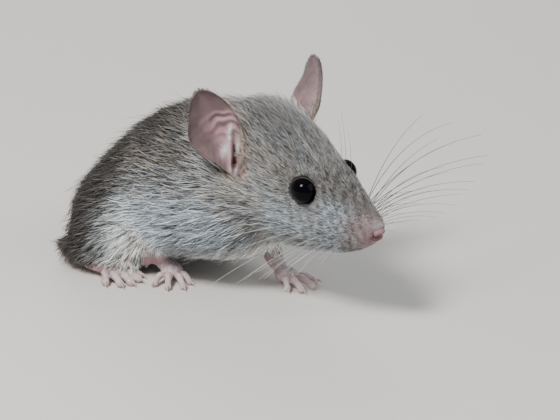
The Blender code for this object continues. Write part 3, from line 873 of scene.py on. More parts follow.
@dataclass(frozen=True)
class Markings:
    """Shares of cream, silver, ochre and black over the body, from place alone.

    Ramps on the trunk run by height, from 0 at the belly to 1 at the back. The pale patch and the
    rusty spot above it lie behind the elbows and are given for the left.
    """

    build: Build
    # The belly's cream ends low, so its edge is greyer: painted shade under the body.
    belly: Pair = (0, 0.15)
    flank: Pair = (0, 0.22)
    flank_end: Pair = (0.30, 0.76)
    back: Pair = (0.60, 0.88)
    back_black: float = 0.92
    shoulder: Pair = (3, 17)
    shoulder_black: float = 0.52
    rump_edge: Pair = (-6.5, 6)
    rump_foot: Pair = (-0.32, -0.05)
    # The rump's black is partly its own dark coat and partly painted shade on the rear, which turns from the
    # light.
    rump_black: float = 0.93
    patch: Triple = (2.9, 13.6, 7.4)
    patch_shape: Triple = (1.05, 0.7, 0.6)
    patch_size: float = 4.8
    patch_gain: float = 1.4
    spot: Triple = (3.2, 13.6, 10.6)
    spot_size: float = 2.0
    spot_ochre: float = 0.7

    def rump(self, points: Array) -> Array:
        """Share of the dark rump, whose front edge leans forward above and below the thigh."""
        level = points[:, 2]
        edge = 0.42 * np.maximum(level - 8.5, 0) + 0.8 * np.maximum(7 - level, 0) - 5
        return fall(points[:, 0] - edge, *self.rump_edge)

    def on_trunk(self, points: Array, head: Array) -> Array:
        """Shares off the head: cream along the belly, silver on the flanks and black on the back."""
        height, _ = self.build.trunk_share(points)
        rump, ahead = self.rump(points), ramp(points[:, 0], *self.shoulder)
        cream = fall(height, *self.belly) * (1 - head) * (1 - 0.9 * rump)
        silver = ramp(height, *self.flank) * fall(height, *self.flank_end) * (1 - head)
        silver = silver * (1 - 0.85 * rump)
        black = self.back_black * ramp(height, *self.back) * (1 - head)
        black = black * blend(1, self.shoulder_black, ahead)
        return np.stack([cream, silver, 0 * height, black], axis=1)

    def add_head(self, found: Array, points: Array, head: Array) -> None:
        """Adds silver cheeks and muzzle, dark crown and bridge, warm cheeks and the nose's pale rim."""
        behind, left, up = self.build.head.local(points)
        side, slant = np.abs(left), up + 0.30 * behind
        # Painted shade under the chin: its cream and silver are kept low.
        lift(found, CREAM, head * fall(slant, -10.5, -6.5) * 0.15)
        lift(found, SILVER, head * fall(up, -7, 2.5) * blend(0.5, 0.8, ramp(slant, -8, -4)))
        lift(found, SILVER, 0.30 * head * ramp(up, 1, 5))
        found[:, SILVER] *= 1 - 0.35 * head * fall(behind, 3, 8)
        muzzle = 0.85 * head * fall(behind, 9, 14) * fall(up, 0.6, 3.4)
        lift(found, SILVER, muzzle * ramp(behind, 3, 6))
        bridge = head * ramp(up, -0.2, 2.2) * fall(behind, 14, 21) * ramp(behind, 0.4, 2.2)
        found[:, SILVER] *= 1 - 0.4 * bridge
        rim = 0.85 * head * bump(span(behind + 0.5, left, up + 1) - 1.8, 0.4)
        lift(found, CREAM, rim * ramp(up, -0.6, 0.8) * bump(left, 1.3))
        below_ear = bump(np.hypot(behind - 31, up + 4.6), 3.4) * ramp(side, 6, 9)
        warm = head * bump(np.hypot((behind - 28) / 1.2, up + 7.5), 5) * ramp(side, 4, 8)
        found[:, SILVER] *= 1 - 0.5 * warm
        lift(found, OCHRE, np.maximum(0.85 * below_ear, 0.38 * warm))
        crown = 0.45 * ramp(up, 1.5, 6) * ramp(behind, 8, 22)
        found[:, BLACK] += head * (crown + 0.20 * ramp(up, 4, 8) * ramp(behind, 18, 30))
        lift(found, BLACK, 0.38 * bridge)

    def at(self, points: Array) -> Array:
        """Shares at each place, with those of the ears' bases, the legs and the paws.

        Args:
            points: Places in the animal's frame.

        Returns:
            Four shares for each place: cream, silver, ochre and black.
        """
        build = self.build
        head = build.headness(points)
        found = self.on_trunk(points, head)
        self.add_head(found, points, head)
        low = ramp(build.trunk_share(points)[0], *self.rump_foot)
        # Dark rump: its own black coat, and painted shade low on the rear.
        lift(found, BLACK, self.rump_black * self.rump(points) * low * (1 - head))
        for stance in build.ears:
            level, reach, out = stance.local(points)
            before = bump(reach - build.ear_outline(level)[0] - 0.8, 1.7) * bump(out, 5)
            lift(found, OCHRE, 0.8 * before * ramp(level, -4, -1) * fall(level, 7, 11))
            base = build.ear_base(points, stance)
            lift(found, SILVER, base)
            lift(found, CREAM, 0.45 * base)
        for side in Side:
            leg, down = build.forelimb_share(points, side)
            paw, _ = build.paw_share(points, side)
            away = size_of((points - build.mirrored(self.patch, side)) * self.patch_shape)
            patch = np.minimum(1, self.patch_gain * bump(away, self.patch_size)) * (1 - head)
            away = size_of(points - build.mirrored(self.spot, side))
            lift(found, OCHRE, self.spot_ochre * bump(away, self.spot_size))
            lift(found, CREAM, leg * fall(down, 0.2, 0.8) * 0.8)
            lift(found, CREAM, patch)
            found[:, CREAM] *= 1 - 0.5 * paw
            lift(found, CREAM, 0.35 * paw)
            lift(found, SILVER, leg * 0.6)
            lift(found, SILVER, build.hind_foot_share(points, side) * 0.8)
            lift(found, SILVER, paw)
            found[:, BLACK] *= 1 - patch
            found[:, BLACK] *= 1 - leg
        return np.clip(found, 0, 1)


# ---------------------------------------------------------------- skin


@dataclass(frozen=True)
class CoatTable:
    """Depth, length and width of the coat's locks, and how many stand on a square millimetre.

    The first five rows give them by distance behind the nose tip, for the head. The last four give
    depth, length, width and density for trunk, forearm, hind foot and forepaw.
    """

    behind: tuple = (0, 3, 8, 14, 20, 28, 38)
    depth: tuple = (0.12, 0.28, 0.50, 0.75, 0.95, 1.25, 1.7)
    length: tuple = (0.6, 0.9, 1.5, 2.2, 3, 4.2, 5.6)
    width: tuple = (0.065, 0.075, 0.088, 0.10, 0.115, 0.138, 0.165)
    density: tuple = (26, 30, 33, 29, 23, 17, 12.5)
    trunk: tuple = (2.1, 7, 0.215, 9.6)
    forearm: tuple = (0.35, 1.6, 0.13, 16)
    foot: tuple = (0.08, 1, 0.09, 13)
    paw: tuple = (0.07, 0.85, 0.08, 20)

    def by_region(self, build: Build, points: Array) -> Array:
        """Depth, length, width and density blended from head to trunk, legs and paws."""
        behind, _, up = build.head.local(points)
        head = build.headness(points)
        columns = (self.depth, self.length, self.width, self.density)
        face = np.stack([np.interp(behind, self.behind, column) for column in columns], axis=1)
        throat = ramp(-up, 13, 18) * ramp(behind, 12, 22) * head
        face[:, LENGTH] *= 1 + 0.5 * throat
        above_belly = ramp(build.trunk_share(points)[0], 0.05, 0.4)
        trunk = np.tile(self.trunk, (len(points), 1))
        trunk[:, DEPTH] *= blend(0.72, 1, above_belly)
        trunk[:, LENGTH] *= blend(0.8, 1, above_belly)
        found = blend(trunk, face, head[:, None])
        for side in Side:
            share, down = build.forelimb_share(points, side)
            share = share * blend(0.7, 1, ramp(down, 0, 0.5))
            found = blend(found, self.forearm, share[:, None])
            found = blend(found, self.foot, build.hind_foot_share(points, side)[:, None])
            share, along = build.paw_share(points, side)
            found = blend(found, self.paw, share[:, None])
            found[:, DENSITY] *= 1 - 0.75 * share * ramp(along, 0.35, 0.7)
        return found

    def at(self, build: Build, points: Array) -> Array:
        """The coat's table at each place.

        Args:
            build: The animal's build.
            points: Places in the animal's frame.

        Returns:
            Depth, length, width and density, shorter round ears and eyes and taller behind the ears.
        """
        found = self.by_region(build, points)
        near_ears = [bump(size_of(points - stance.root), 6) for stance in build.ears]
        found[:, LENGTH] *= 1 - 0.45 * np.maximum(*near_ears)
        for stance in build.ears:
            base = build.ear_base(points, stance)
            found[:, DEPTH] *= 1 + 1.3 * base
            found[:, LENGTH] *= 1 + 0.6 * base
        for side in Side:
            away = size_of(points - build.head.eye_centre(side)) - build.head.eye_radius
            found[:, :WIDTH] *= blend(0.34, 1, ramp(away, 0, 3.4))[:, None]
            found[:, DENSITY] *= blend(1.5, 1, ramp(away, 0, 2.5))
        return found


@dataclass(frozen=True)
class Flesh:
    """Head, neck, trunk and legs as one skin under the coat."""

    build: Build
    table: CoatTable = CoatTable()
    voxel: float = 0.6
    smoothing: int = 6
    lip_depth: float = 0.45
    nose_depth: float = 0.55
    ear_depth: float = 2.6
    socket_depth: float = 0.60
    haunch_flat: float = 0.7
    leg_radii: tuple = (5.2, 3.6, 2.1)

    def lofts(self) -> list[Surface]:
        """The overlapping forms, out to the tips of the coat."""
        build = self.build
        forward, left, up = build.head.axes()
        behind, level, width, top, bottom = smooth_rows(build.head_stations, 80).T
        centres = np.asarray(build.head.nose_tip) - np.outer(behind, forward) + np.outer(level, up)
        head = oval_rings(centres, left, up, width, top - level, level - bottom, 64)
        rows = smooth_rows(build.trunk_stations, 90)
        _, _, level, width, back, belly = rows.T
        left = (0, 1, 0)
        trunk = oval_rings(rows[:, :3], left, UP, width, back - level, level - belly, 72)
        forms = [ring_surface(head), ring_surface(trunk)]
        for side in Side:
            limb = build.limb(side)
            centre, radii, turn = build.thigh
            forms.append(ball(build.mirrored(centre, side), radii, math.radians(turn) * side.value))
            centre, radii = build.haunch
            haunch = ball(build.mirrored(centre, side), radii)
            haunch.points[:, 2] = np.maximum(haunch.points[:, 2], self.haunch_flat)
            forms.append(haunch)
            forms.append(tube((limb.shoulder, limb.elbow, limb.wrist), self.leg_radii))
        return forms

    def eye_distances(self, points: Array) -> list[Array]:
        """Distances of points from the middle of each eyeball."""
        return [size_of(points - self.build.head.eye_centre(side)) for side in Side]

    def surface(self) -> Surface:
        """The skin in the animal's frame.

        The lofts are fused, drawn in by the coat's depth, and pressed in at lips, nose, ears and
        eyes. The mouth runs along up = -5.2 - 0.62 b + 0.012 b^2, with b behind the nose tip.

        Returns:
            The surface, with the masks of bare skin and the region shares on its points.
        """
        build = self.build
        skin = fused(self.lofts(), self.voxel, self.smoothing)
        depth = self.table.at(build, skin.points)[:, DEPTH]
        skin.points = skin.points - skin.normals() * skin.eased(depth, 3)[:, None]
        skin.points = skin.eased(skin.points, 3)
        behind, left, up = build.head.local(skin.points)
        mouth = -5.2 - 0.62 * behind + 0.012 * behind**2
        lips = bump(up - mouth, 0.55) * ramp(behind, 0.5, 2) * fall(behind, 9.5, 12.5)
        nose = bump(span(behind + 0.6, left, up + 1.6), 1.7)
        concha = skin.eased(build.in_ear(skin.points).astype(float), 3)
        sunk = self.lip_depth * lips + self.nose_depth * nose + self.ear_depth * concha
        for away in self.eye_distances(skin.points):
            sunk = sunk + self.socket_depth * fall(away, 2.7, 3.8)
        skin.points = skin.points - skin.normals() * sunk[:, None]
        muzzle = build.headness(skin.points) * fall(behind, 4.5, 11) * (1 - 0.75 * ramp(up, -1.2, 1.6))
        bare = 0.95 * muzzle
        # The muzzle's dusk is its own colour; the darker, redder mouth groove (lips) is painted shade.
        dark = np.maximum(0.35 * lips, (0.50 + 0.20 * ramp(up, -1.8, 0.6)) * muzzle)
        for side in Side:
            share, down = build.forelimb_share(skin.points, side)
            bare = np.maximum(bare, share * ramp(down, 0.45, 0.85) * 0.85)
            bare = np.maximum(bare, build.hind_foot_share(skin.points, side) * 0.9)
        skin.painted("flesh", np.maximum(bare, concha), dark, 0.25 * lips * muzzle, 0)
        marks = Markings(build).at(skin.points)
        for away in self.eye_distances(skin.points):
            lift(marks, BLACK, fall(away, 3.2, 4.2))
        skin.values["marks"] = marks
        return skin


@dataclass(frozen=True)
class EarShape:
    """A thin cupped ear with a rolled rim, cross folds, a ridge, a slit and a lobe before it.

    A row of the outline is a height with the reach there to the front and to the back edge.
    """

    stance: EarStance
    outline: tuple = (
        (-4.6, -2, 4), (-2.6, -0.6, 4.2), (-0.4, 1, 4.8), (2, 2.4, 5.7),
        (4.4, 3.3, 7.2), (6.6, 3.7, 7.8), (9, 3.8, 7.6), (11.4, 3.5, 6.8),
        (13.6, 2.8, 5.2), (15.4, 1.7, 3), (16.5, 0.2, 0.9),
    )
    thickness: float = 0.5
    cup: float = 2.6
    root_cup: float = 1.5
    roll_height: float = 0.35
    rows: int = 88
    columns: int = 58

    @staticmethod
    def slit_at(height: Array) -> Array:
        """Reach of the slit at each height."""
        return 0.33 + (height - 3.5) * 0.60

    def surface(self) -> Surface:
        """Both faces of the ear.

        The middle sheet is root + height rise + reach front + out face. Out is the bowl
        -cup (1 - |t|^2.2), with t from 1 at the front edge to -1 at the back, plus the folds.

        Returns:
            The closed surface with its flesh masks.
        """
        rise, front, face = self.stance.axes()
        rows = smooth_rows(self.outline, self.rows)
        rows[:, 2] *= 1 - self.stance.fold * bump(rows[:, 0] - 12.9, 2.4)
        t = np.sin(np.linspace(0.5 * math.pi, -0.5 * math.pi, self.columns))[None, :]
        height = rows[:, :1] + 0 * t
        reach = 0.5 * (rows[:, 1:2] - rows[:, 2:3]) + t * 0.5 * (rows[:, 1:2] + rows[:, 2:3])
        out = -self.cup * (1 - np.abs(t) ** 2.2) * np.maximum(0, 1 - np.abs(height - 6) / 13)
        out -= self.root_cup * np.maximum(0, 1 - (height + 4.6) / 9)
        arc = np.hypot(height - 2.2, 0.8 * (reach + 2.6))
        wave = arc * math.tau / 1.95 + 1.3 * np.sin(0.8 * reach + 0.5 * height)
        folds = np.sin(wave + 0.7 * np.sin(1.9 * reach - 0.8 * height))
        fold_zone = ramp(arc, 2.6, 4) * fall(arc, 7.6, 9.6) * bump(reach - 0.9, 3.4)
        ripples = np.sin((height * 0.5 - reach) * math.tau / 1.3)
        ripples = ripples * fall(height, 3, 6) * ramp(-reach, 2.5, 4.5)
        past = reach - self.slit_at(height)
        zone = ramp(height, -2.4, -1) * fall(height, 0.4, 4.4)
        slit = bump(past, 0.26 + 0.46 * bump(height + 0.6, 1.1)) * zone
        ridge = bump(past + 1.1, 0.7) * ramp(height, -4, -1) * fall(height, 5, 8)
        lobe = bump(np.hypot(past - 0.95, 0.42 * (height - 1.6)), 0.7)
        hollow = bump(np.hypot(past - 1.9, 0.5 * (height - 4.4)), 1.1)
        shine = bump(np.hypot(past + 0.75, 0.6 * (height - 5)), 0.8)
        shine = np.maximum(shine, bump(np.hypot(past + 2.5, 0.8 * (height - 2.6)), 1))
        shine = np.maximum(shine, bump(np.hypot(past, height + 2.6), 0.8))
        roll = ramp(np.abs(t), 0.90, 1) * ramp(height, 0, 4)
        relief = 0.27 * folds * fold_zone + 0.10 * ripples - 1.2 * slit
        relief = relief + 1 * ridge + 0.7 * lobe - 0.6 * hollow + 0.3 * shine
        relief = relief * (1 - t**8) + self.roll_height * roll
        sheet = np.asarray(self.stance.root) + height[..., None] * rise + reach[..., None] * front
        inner = sheet + (out + relief)[..., None] * face
        plain = sheet + out[..., None] * face
        normal = unit(np.cross(np.gradient(plain, axis=0), np.gradient(plain, axis=1)))
        normal *= np.sign(np.einsum("ijk,k->ij", normal, face))[..., None]
        rim = 0.45 + 0.55 * np.sqrt(np.maximum(0, 1 - t**6)) * (1 - 0.5 * ramp(height, 12, 16.5))
        thick = np.maximum(self.thickness * rim, 0.22 * rim - relief * (np.abs(t) < 0.93))
        back = plain - (thick - self.roll_height * roll)[..., None] * normal
        skin = ring_surface(np.concatenate([inner, back[:, ::-1]], axis=1))
        edge = np.maximum(ramp(height, 8, 12), ramp(-reach, 1.6, 4.6))
        edge = np.maximum(edge, ramp(reach - 0.35 * height, 0.2, 1.4) * ramp(height, 3, 6))
        # Painted highlight: paler skin on the fold crests, the ridge and the shine spots; the lobe is pale
        # skin of its own.
        highlights_and_lobe = np.clip(0.5 * np.maximum(folds, 0) ** 2 * fold_zone + 0.8 * ridge + lobe + shine, 0, 1)
        # Dusky edges are the ear's own colour; the extra dusk in the fold valleys and the hollow is painted
        # shade.
        dusk = 0.46 + 0.44 * edge + 0.22 * np.clip(-folds, 0, 1) * fold_zone + 0.25 * hollow
        dusk = np.clip(dusk * (1 - 0.9 * highlights_and_lobe), 0, 1)
        pale = np.clip(0.55 * lobe + 0.6 * shine + 0.30 * highlights_and_lobe, 0, 0.7)
        # The slit is dark red: partly its own red skin, partly painted shade in its depth.
        red = np.clip(slit * 1.3, 0, 1) * 0.95
        outside = 0.58 + 0.30 * ramp(height[:, ::-1], 2, 14)
        pale = np.append(np.concatenate([pale, 0 * pale], axis=1), [0, 0])
        dusk = np.append(np.concatenate([dusk, outside], axis=1), [0.3, 0.7])
        red = np.append(np.concatenate([red, 0 * red], axis=1), [0, 0])
        skin.painted("flesh", 1 - pale, dusk * (1 - red), red, 0)
        return skin.painted("marks", 0.5, 1, 0, 0)


@dataclass(frozen=True)
class NosePad:
    """The bare pad of the nose with two comma-shaped nostrils and a groove below.

    A nostril follows a line over the unit ball, given for the left, with a width for each piece.
    """

    head: HeadCarriage
    centre: Triple = (-0.2, 0, -1.45)
    radii: Triple = (1.6, 2.1, 1.9)
    nostril: tuple = (
        (-0.25, 0.85, 0.58), (0.10, 0.97, 0.32), (0.45, 0.86, -0.10),
        (0.78, 0.60, -0.10), (0.94, 0.32, 0.10),
    )
    widths: tuple = (0.17, 0.22, 0.28, 0.27)
    red_reach: float = 2.3
    dent_depth: float = 0.32
    groove_depth: float = 0.10
    rows: int = 50
    around: int = 60

    def surface(self) -> Surface:
        """An ellipsoid pressed in by bell-shaped dents about the nostrils and the groove."""
        way = sphere_grid(self.rows, self.around)
        dent, red = np.zeros((2, self.rows, self.around))
        for side in Side:
            line = unit(np.array(self.nostril) * [1, side.value, 1])
            for start, end, width in zip(line[:-1], line[1:], self.widths):
                away = near_segment(way.reshape(-1, 3), start, end)[0].reshape(dent.shape)
                dent = np.maximum(dent, bump(away, width))
                red = np.maximum(red, fall(away, width, self.red_reach * width))
        groove = bump(way[..., 1], 0.12) * ramp(-way[..., 2], 0.05, 0.4) * (way[..., 0] > 0)
        scale = 1 - self.dent_depth * dent - self.groove_depth * groove
        local = np.asarray(self.centre) + way * scale[..., None] * np.asarray(self.radii)
        skin = ring_surface(self.head.place(local.reshape(-1, 3)).reshape(local.shape))
        # The red round the nostrils is their own skin; the dark cores of the nostrils and the red in the
        # groove are painted shade.
        deep = np.append((red * 0.95 + 0.3 * groove).ravel(), [0, 0]).clip(0, 1)
        dark = np.append((1.6 * dent**2 * ramp(way[..., 0], -0.1, 0.4)).ravel(), [0, 0]).clip(0, 1)
        skin.painted("flesh", 1 - dark, 0.50 * (1 - dark), deep * (1 - dark), 0)
        return skin.painted("marks", 0, 0, 0, 1)


@dataclass(frozen=True)
class Lids:
    """The rim of skin round one eye, a ring that narrows to a corner ahead of and behind it."""

    head: HeadCarriage
    side: Side
    radius: float = 2.82
    tube_radius: float = 0.13
    corner: float = 0.35
    around: int = 72
    section: int = 12

    def surface(self) -> Surface:
        """A ring on the eyeball: centre + axis a + radius (cos u, sin u), with a round section."""
        axis = self.head.eye_axis(self.side)
        across = unit(np.cross(axis, self.head.axes()[2]))
        over = np.cross(across, axis)
        u = (np.arange(self.around) * math.tau / self.around)[:, None]
        v = (np.arange(self.section) * math.tau / self.section)[None, :]
        height = math.sqrt(self.head.eye_radius**2 - self.radius**2)
        corner = self.corner * np.abs(np.cos(u)) ** 12
        ring = self.radius + corner * 0.6 + self.tube_radius * np.cos(v)
        lift = height - corner * 0.5 + self.tube_radius * np.sin(v)
        centre = self.head.eye_centre(self.side)
        spoke = np.cos(u)[..., None] * across + np.sin(u)[..., None] * over
        points = (centre + ring[..., None] * spoke + lift[..., None] * axis).reshape(-1, 3)
        i, j = np.meshgrid(np.arange(self.around), np.arange(self.section), indexing="ij")
        here, after = i * self.section, (i + 1) % self.around * self.section
        k = (j + 1) % self.section
        skin = Surface(points, triangles(here + j, here + k, after + k, after + j))
        if dot(skin.normals(), points - centre).mean() <= 0:
            skin.faces = skin.faces[:, ::-1]
        skin.painted("flesh", 0, 0, 0, 0)
        return skin.painted("marks", 0, 0, 0, 1)


@dataclass(frozen=True)
class Digits:
    """The digits of one paw, fanned about its heading.

    Each row of the table is a digit's angle, length, offset from the heading and radius. The swell
    is the share of that radius from root to tip.
    """

    base: Array
    heading: float
    side: Side
    rows: tuple
    floor_flat: float = 0.12
    swell: tuple = (1.08, 0.86, 0.98, 0.80, 0.98)
    claw_inset: float = 0.35
    claw_rise: float = 0.26
    claw_run: float = 1.45
    claw_droop: float = 0.62
    claw_radius: float = 0.30

    def ends(self) -> list[tuple[Array, Array, Array, float]]:
        """Root, knuckle, tip and radius of each digit."""
        ahead = compass(self.heading)
        left = np.array([-ahead[1], ahead[0], 0])
        found = []
        for angle, length, offset, radius in self.rows:
            turn = math.radians(angle) * self.side.value
            away = ahead * math.cos(turn) + left * math.sin(turn)
            root = self.base + left * offset * self.side.value
            tip = root + away * length
            tip[2] = radius - self.floor_flat
            knuckle = root + away * length * 0.5
            knuckle[2] = self.base[2] + 0.1
            found.append((root, knuckle, tip, radius))
        return found

    def surfaces(self) -> list[Surface]:
        """Each digit with its joints and the pad at its end."""
        found = []
        for root, knuckle, tip, radius in self.ends():
            near, far = 0.5 * (root + knuckle), knuckle * 0.45 + tip * 0.55
            far[2] += 0.12
            sizes = np.array(self.swell) * radius
            found.append(tube((root, near, knuckle, far, tip), sizes, around=16, count=18))
        return found

    def claw(self, index: int) -> Surface:
        """A hooked claw: a cone whose middle line droops with the power 2.2 of the distance."""
        _, knuckle, tip, size = self.ends()[index]
        away = unit((tip - knuckle) * np.array([1, 1, 0]))
        steps = np.linspace(0, 1, 12)
        start = tip + away * (size - self.claw_inset) + np.array([0, 0, self.claw_rise])
        path = start + np.outer(steps, away) * self.claw_run
        path = path - np.outer(self.claw_droop * steps**2.2, UP)
        radii = self.claw_radius * (1 - 0.9 * steps**1.3)
        side = level_side(away)
        rings = oval_rings(path, side, UP, radii * 0.8, radii * 1.15, radii * 0.9, 10)
        return ring_surface(rings).painted("strand", np.append(np.repeat(steps, 10), [0, 1]))


@dataclass(frozen=True)
class Paws:
    """The four bare paws."""

    build: Build
    fore_rows: tuple = (
        (-30, 3.8, -1.5, 0.76), (-11, 6, -0.6, 0.82), (9, 6, 0.6, 0.82), (36, 4.4, 1.5, 0.76),
    )
    hind_rows: tuple = (
        (-30, 4.4, -2, 0.86), (-12, 6, -1.1, 0.92), (0, 6.5, 0, 0.94),
        (12, 6.2, 1.1, 0.92), (34, 4.2, 2, 0.86),
    )
    voxel: float = 0.215
    hind_voxel: float = 0.24725
    palm_radii: tuple = (2.8, 2.35, 1.7)
    wrist_radii: tuple = (1.9, 1.65, 1.6)
    sole_radii: tuple = (2.1, 1.9, 2.25)

    def fore_digits(self, side: Side) -> Digits:
        """Digits of one forepaw."""
        limb = self.build.limb(side)
        heading = math.radians(limb.heading)
        base = limb.palm + compass(heading) * 1.2 + [0, 0, -0.24]
        return Digits(base, heading, side, self.fore_rows)

    def hind_digits(self, side: Side) -> Digits:
        """Digits of one hind foot."""
        base = self.build.mirrored(self.build.hind_foot[2], side)
        return Digits(base, math.radians(self.build.hind_heading) * side.value, side, self.hind_rows)

    def paw(self, forms: list[Surface], voxel: float) -> Surface:
        """One paw fused from its forms, flat on the floor, with painted shade in the creases between its
        digits.
        """
        skin = fused(forms, voxel, 3)
        skin.points[:, 2] = np.maximum(skin.points[:, 2], 0)
        hollow = skin.eased(skin.points, 8) - skin.points
        # Painted shade: the creases are darker and redder than the tops of the digits.
        crease = ramp(dot(hollow, skin.normals()), 0.02, 0.10)
        skin.painted("flesh", 1 - 0.34 * (1 - crease), 0.03 + 0.16 * crease, 0.20 * crease, 1)
        return skin.painted("marks", 1, 0, 0, 0)

    def fore(self, side: Side) -> Surface:
        """One forepaw with its wrist."""
        limb = self.build.limb(side)
        above = np.asarray(limb.wrist) * 0.55 + np.asarray(limb.elbow) * 0.45
        wrist = tube((above, limb.wrist, limb.palm), self.wrist_radii)
        palm = ball(limb.palm, self.palm_radii, math.radians(limb.heading))
        return self.paw([wrist, palm, *self.fore_digits(side).surfaces()], self.voxel)

    def hind(self, side: Side) -> Surface:
        """One long hind foot."""
        heel, instep, ball_at = (self.build.mirrored(p, side) for p in self.build.hind_foot)
        sole = tube((heel, instep, ball_at), self.sole_radii, flatten=0.85)
        return self.paw([sole, *self.hind_digits(side).surfaces()], self.hind_voxel)


@dataclass(frozen=True)
class Tail:
    """The ringed tail, laid on the floor from a share of its length on.

    The saw is the swell of the four rows of points that make one ring of scales.
    """

    build: Build
    ring_pitch: float = 0.85
    relief: float = 0.045
    flat: float = 0.12
    inset: float = 0.16
    on_floor: float = 0.26
    saw: tuple = (0, 0.6, 1, 0.25)
    last_rings: tuple = (0.85, 0.6, 0.25)
    around: int = 15

    def line(self) -> tuple[Array, Array]:
        """Middle line and radius, with a row each quarter of a ring."""
        rows = smooth_rows(self.build.tail_path, 400)
        share = np.linspace(0, 1, len(rows))
        first, last = self.build.tail_radii
        radii = first + (last - first) * share**0.8
        rest = radii - self.flat
        rows[:, 2] = np.where(share > self.on_floor, rest, np.maximum(rows[:, 2], rest))
        length = np.concatenate([[0], np.cumsum(size_of(np.diff(rows, axis=0)))])
        places = np.arange(0, length[-1], self.ring_pitch / len(self.saw))
        path = np.column_stack([np.interp(places, length, rows[:, k]) for k in range(3)])
        return path, np.interp(places, length, radii)

    def surface(self) -> Surface:
        """Rings of skin whose radius swells by a saw tooth along each scale ring."""
        path, radii = self.line()
        path = path - [0, 0, self.inset]
        saw = np.resize(self.saw, len(path))
        radii = (radii - self.inset) * (1 - self.relief + self.relief * saw)
        radii[-3:] *= self.last_rings
        along = unit(np.gradient(path, axis=0))
        rings = pipe(path, level_side(along), along, radii, self.around)
        rings[..., 2] = np.maximum(rings[..., 2], 0)
        skin = ring_surface(rings)
        dusk = np.append(np.repeat(0.80 + 0.2 * saw, self.around), [0.9, 0.9])
        skin.painted("flesh", 0.8, dusk, 0, 0)
        return skin.painted("marks", 0, 0.3, 0, 0.4)


# ---------------------------------------------------------------- coat


@dataclass(frozen=True)
class Lie:
    """Which way the hair lies at each place."""

    build: Build
    toe_fall: float = -0.2

    def on_head(self, points: Array) -> Array:
        """Back from the nose, parting round the eyes, up to the ears and down to the throat."""
        head = self.build.head
        behind, left, up = head.local(points)
        back = -np.ones(len(points))
        out = 0.10 * np.sign(left) * ramp(12 - behind, 0, 10)
        rise = 0.30 * ramp(up, -2, 6) * fall(behind, 8, 20)
        rise = rise - 0.22 * ramp(-up, 5, 14) * ramp(behind, 8, 20)
        near_eye = bump(np.hypot(behind - 17, up - 0.2), 4.6)
        rise = rise + 1.1 * near_eye * (up - 0.2) / 3.5
        ears = bump(np.hypot(behind - 28.5, up - 4), 5) * ramp(np.abs(left), 4, 7)
        rise = rise + 0.55 * ears
        out = out + 0.5 * ears * np.sign(left)
        flow = np.stack([back, out, rise], axis=1) @ head.axes()
        hang = ramp(-up, 12, 19) * ramp(behind, 14, 24)
        return flow - hang[:, None] * np.array([0, 0, 0.75])

    def on_trunk(self, points: Array) -> Array:
        """Back along the trunk, and more and more down its sides towards the rump."""
        height, lateral = self.build.trunk_share(points)
        rear = fall(points[:, 0], -16, 14)
        down = (0.06 + 0.85 * rear) * ramp(lateral, 0.10, 0.85)
        down = down + 0.9 * fall(points[:, 0], -26, -14)
        low = fall(height, 0.12, 0.35)
        down = down + 0.25 * low * ramp(lateral, 0.3, 0.9)
        return np.stack([-np.ones(len(points)), 0 * down, -down], axis=1)

    def at(self, points: Array, normals: Array) -> Array:
        """Directions along the skin.

        Args:
            points: Roots.
            normals: Skin normals there.

        Returns:
            Unit vectors square to the normals.
        """
        build = self.build
        flow = blend(unit(self.on_trunk(points)), unit(self.on_head(points)), build.headness(points)[:, None])
        for side in Side:
            limb = build.limb(side)
            share, _ = build.forelimb_share(points, side)
            way = unit(np.asarray(limb.wrist) - np.asarray(limb.elbow))
            flow = blend(flow, way, share[:, None])
            toes = compass(math.radians(build.hind_heading) * side.value, self.toe_fall)
            flow = blend(flow, toes, build.hind_foot_share(points, side)[:, None])
            toes = compass(math.radians(limb.heading), self.toe_fall)
            flow = blend(flow, toes, build.paw_share(points, side)[0][:, None])
        flow = flow - dot(flow, normals)[:, None] * normals
        return unit(flow)


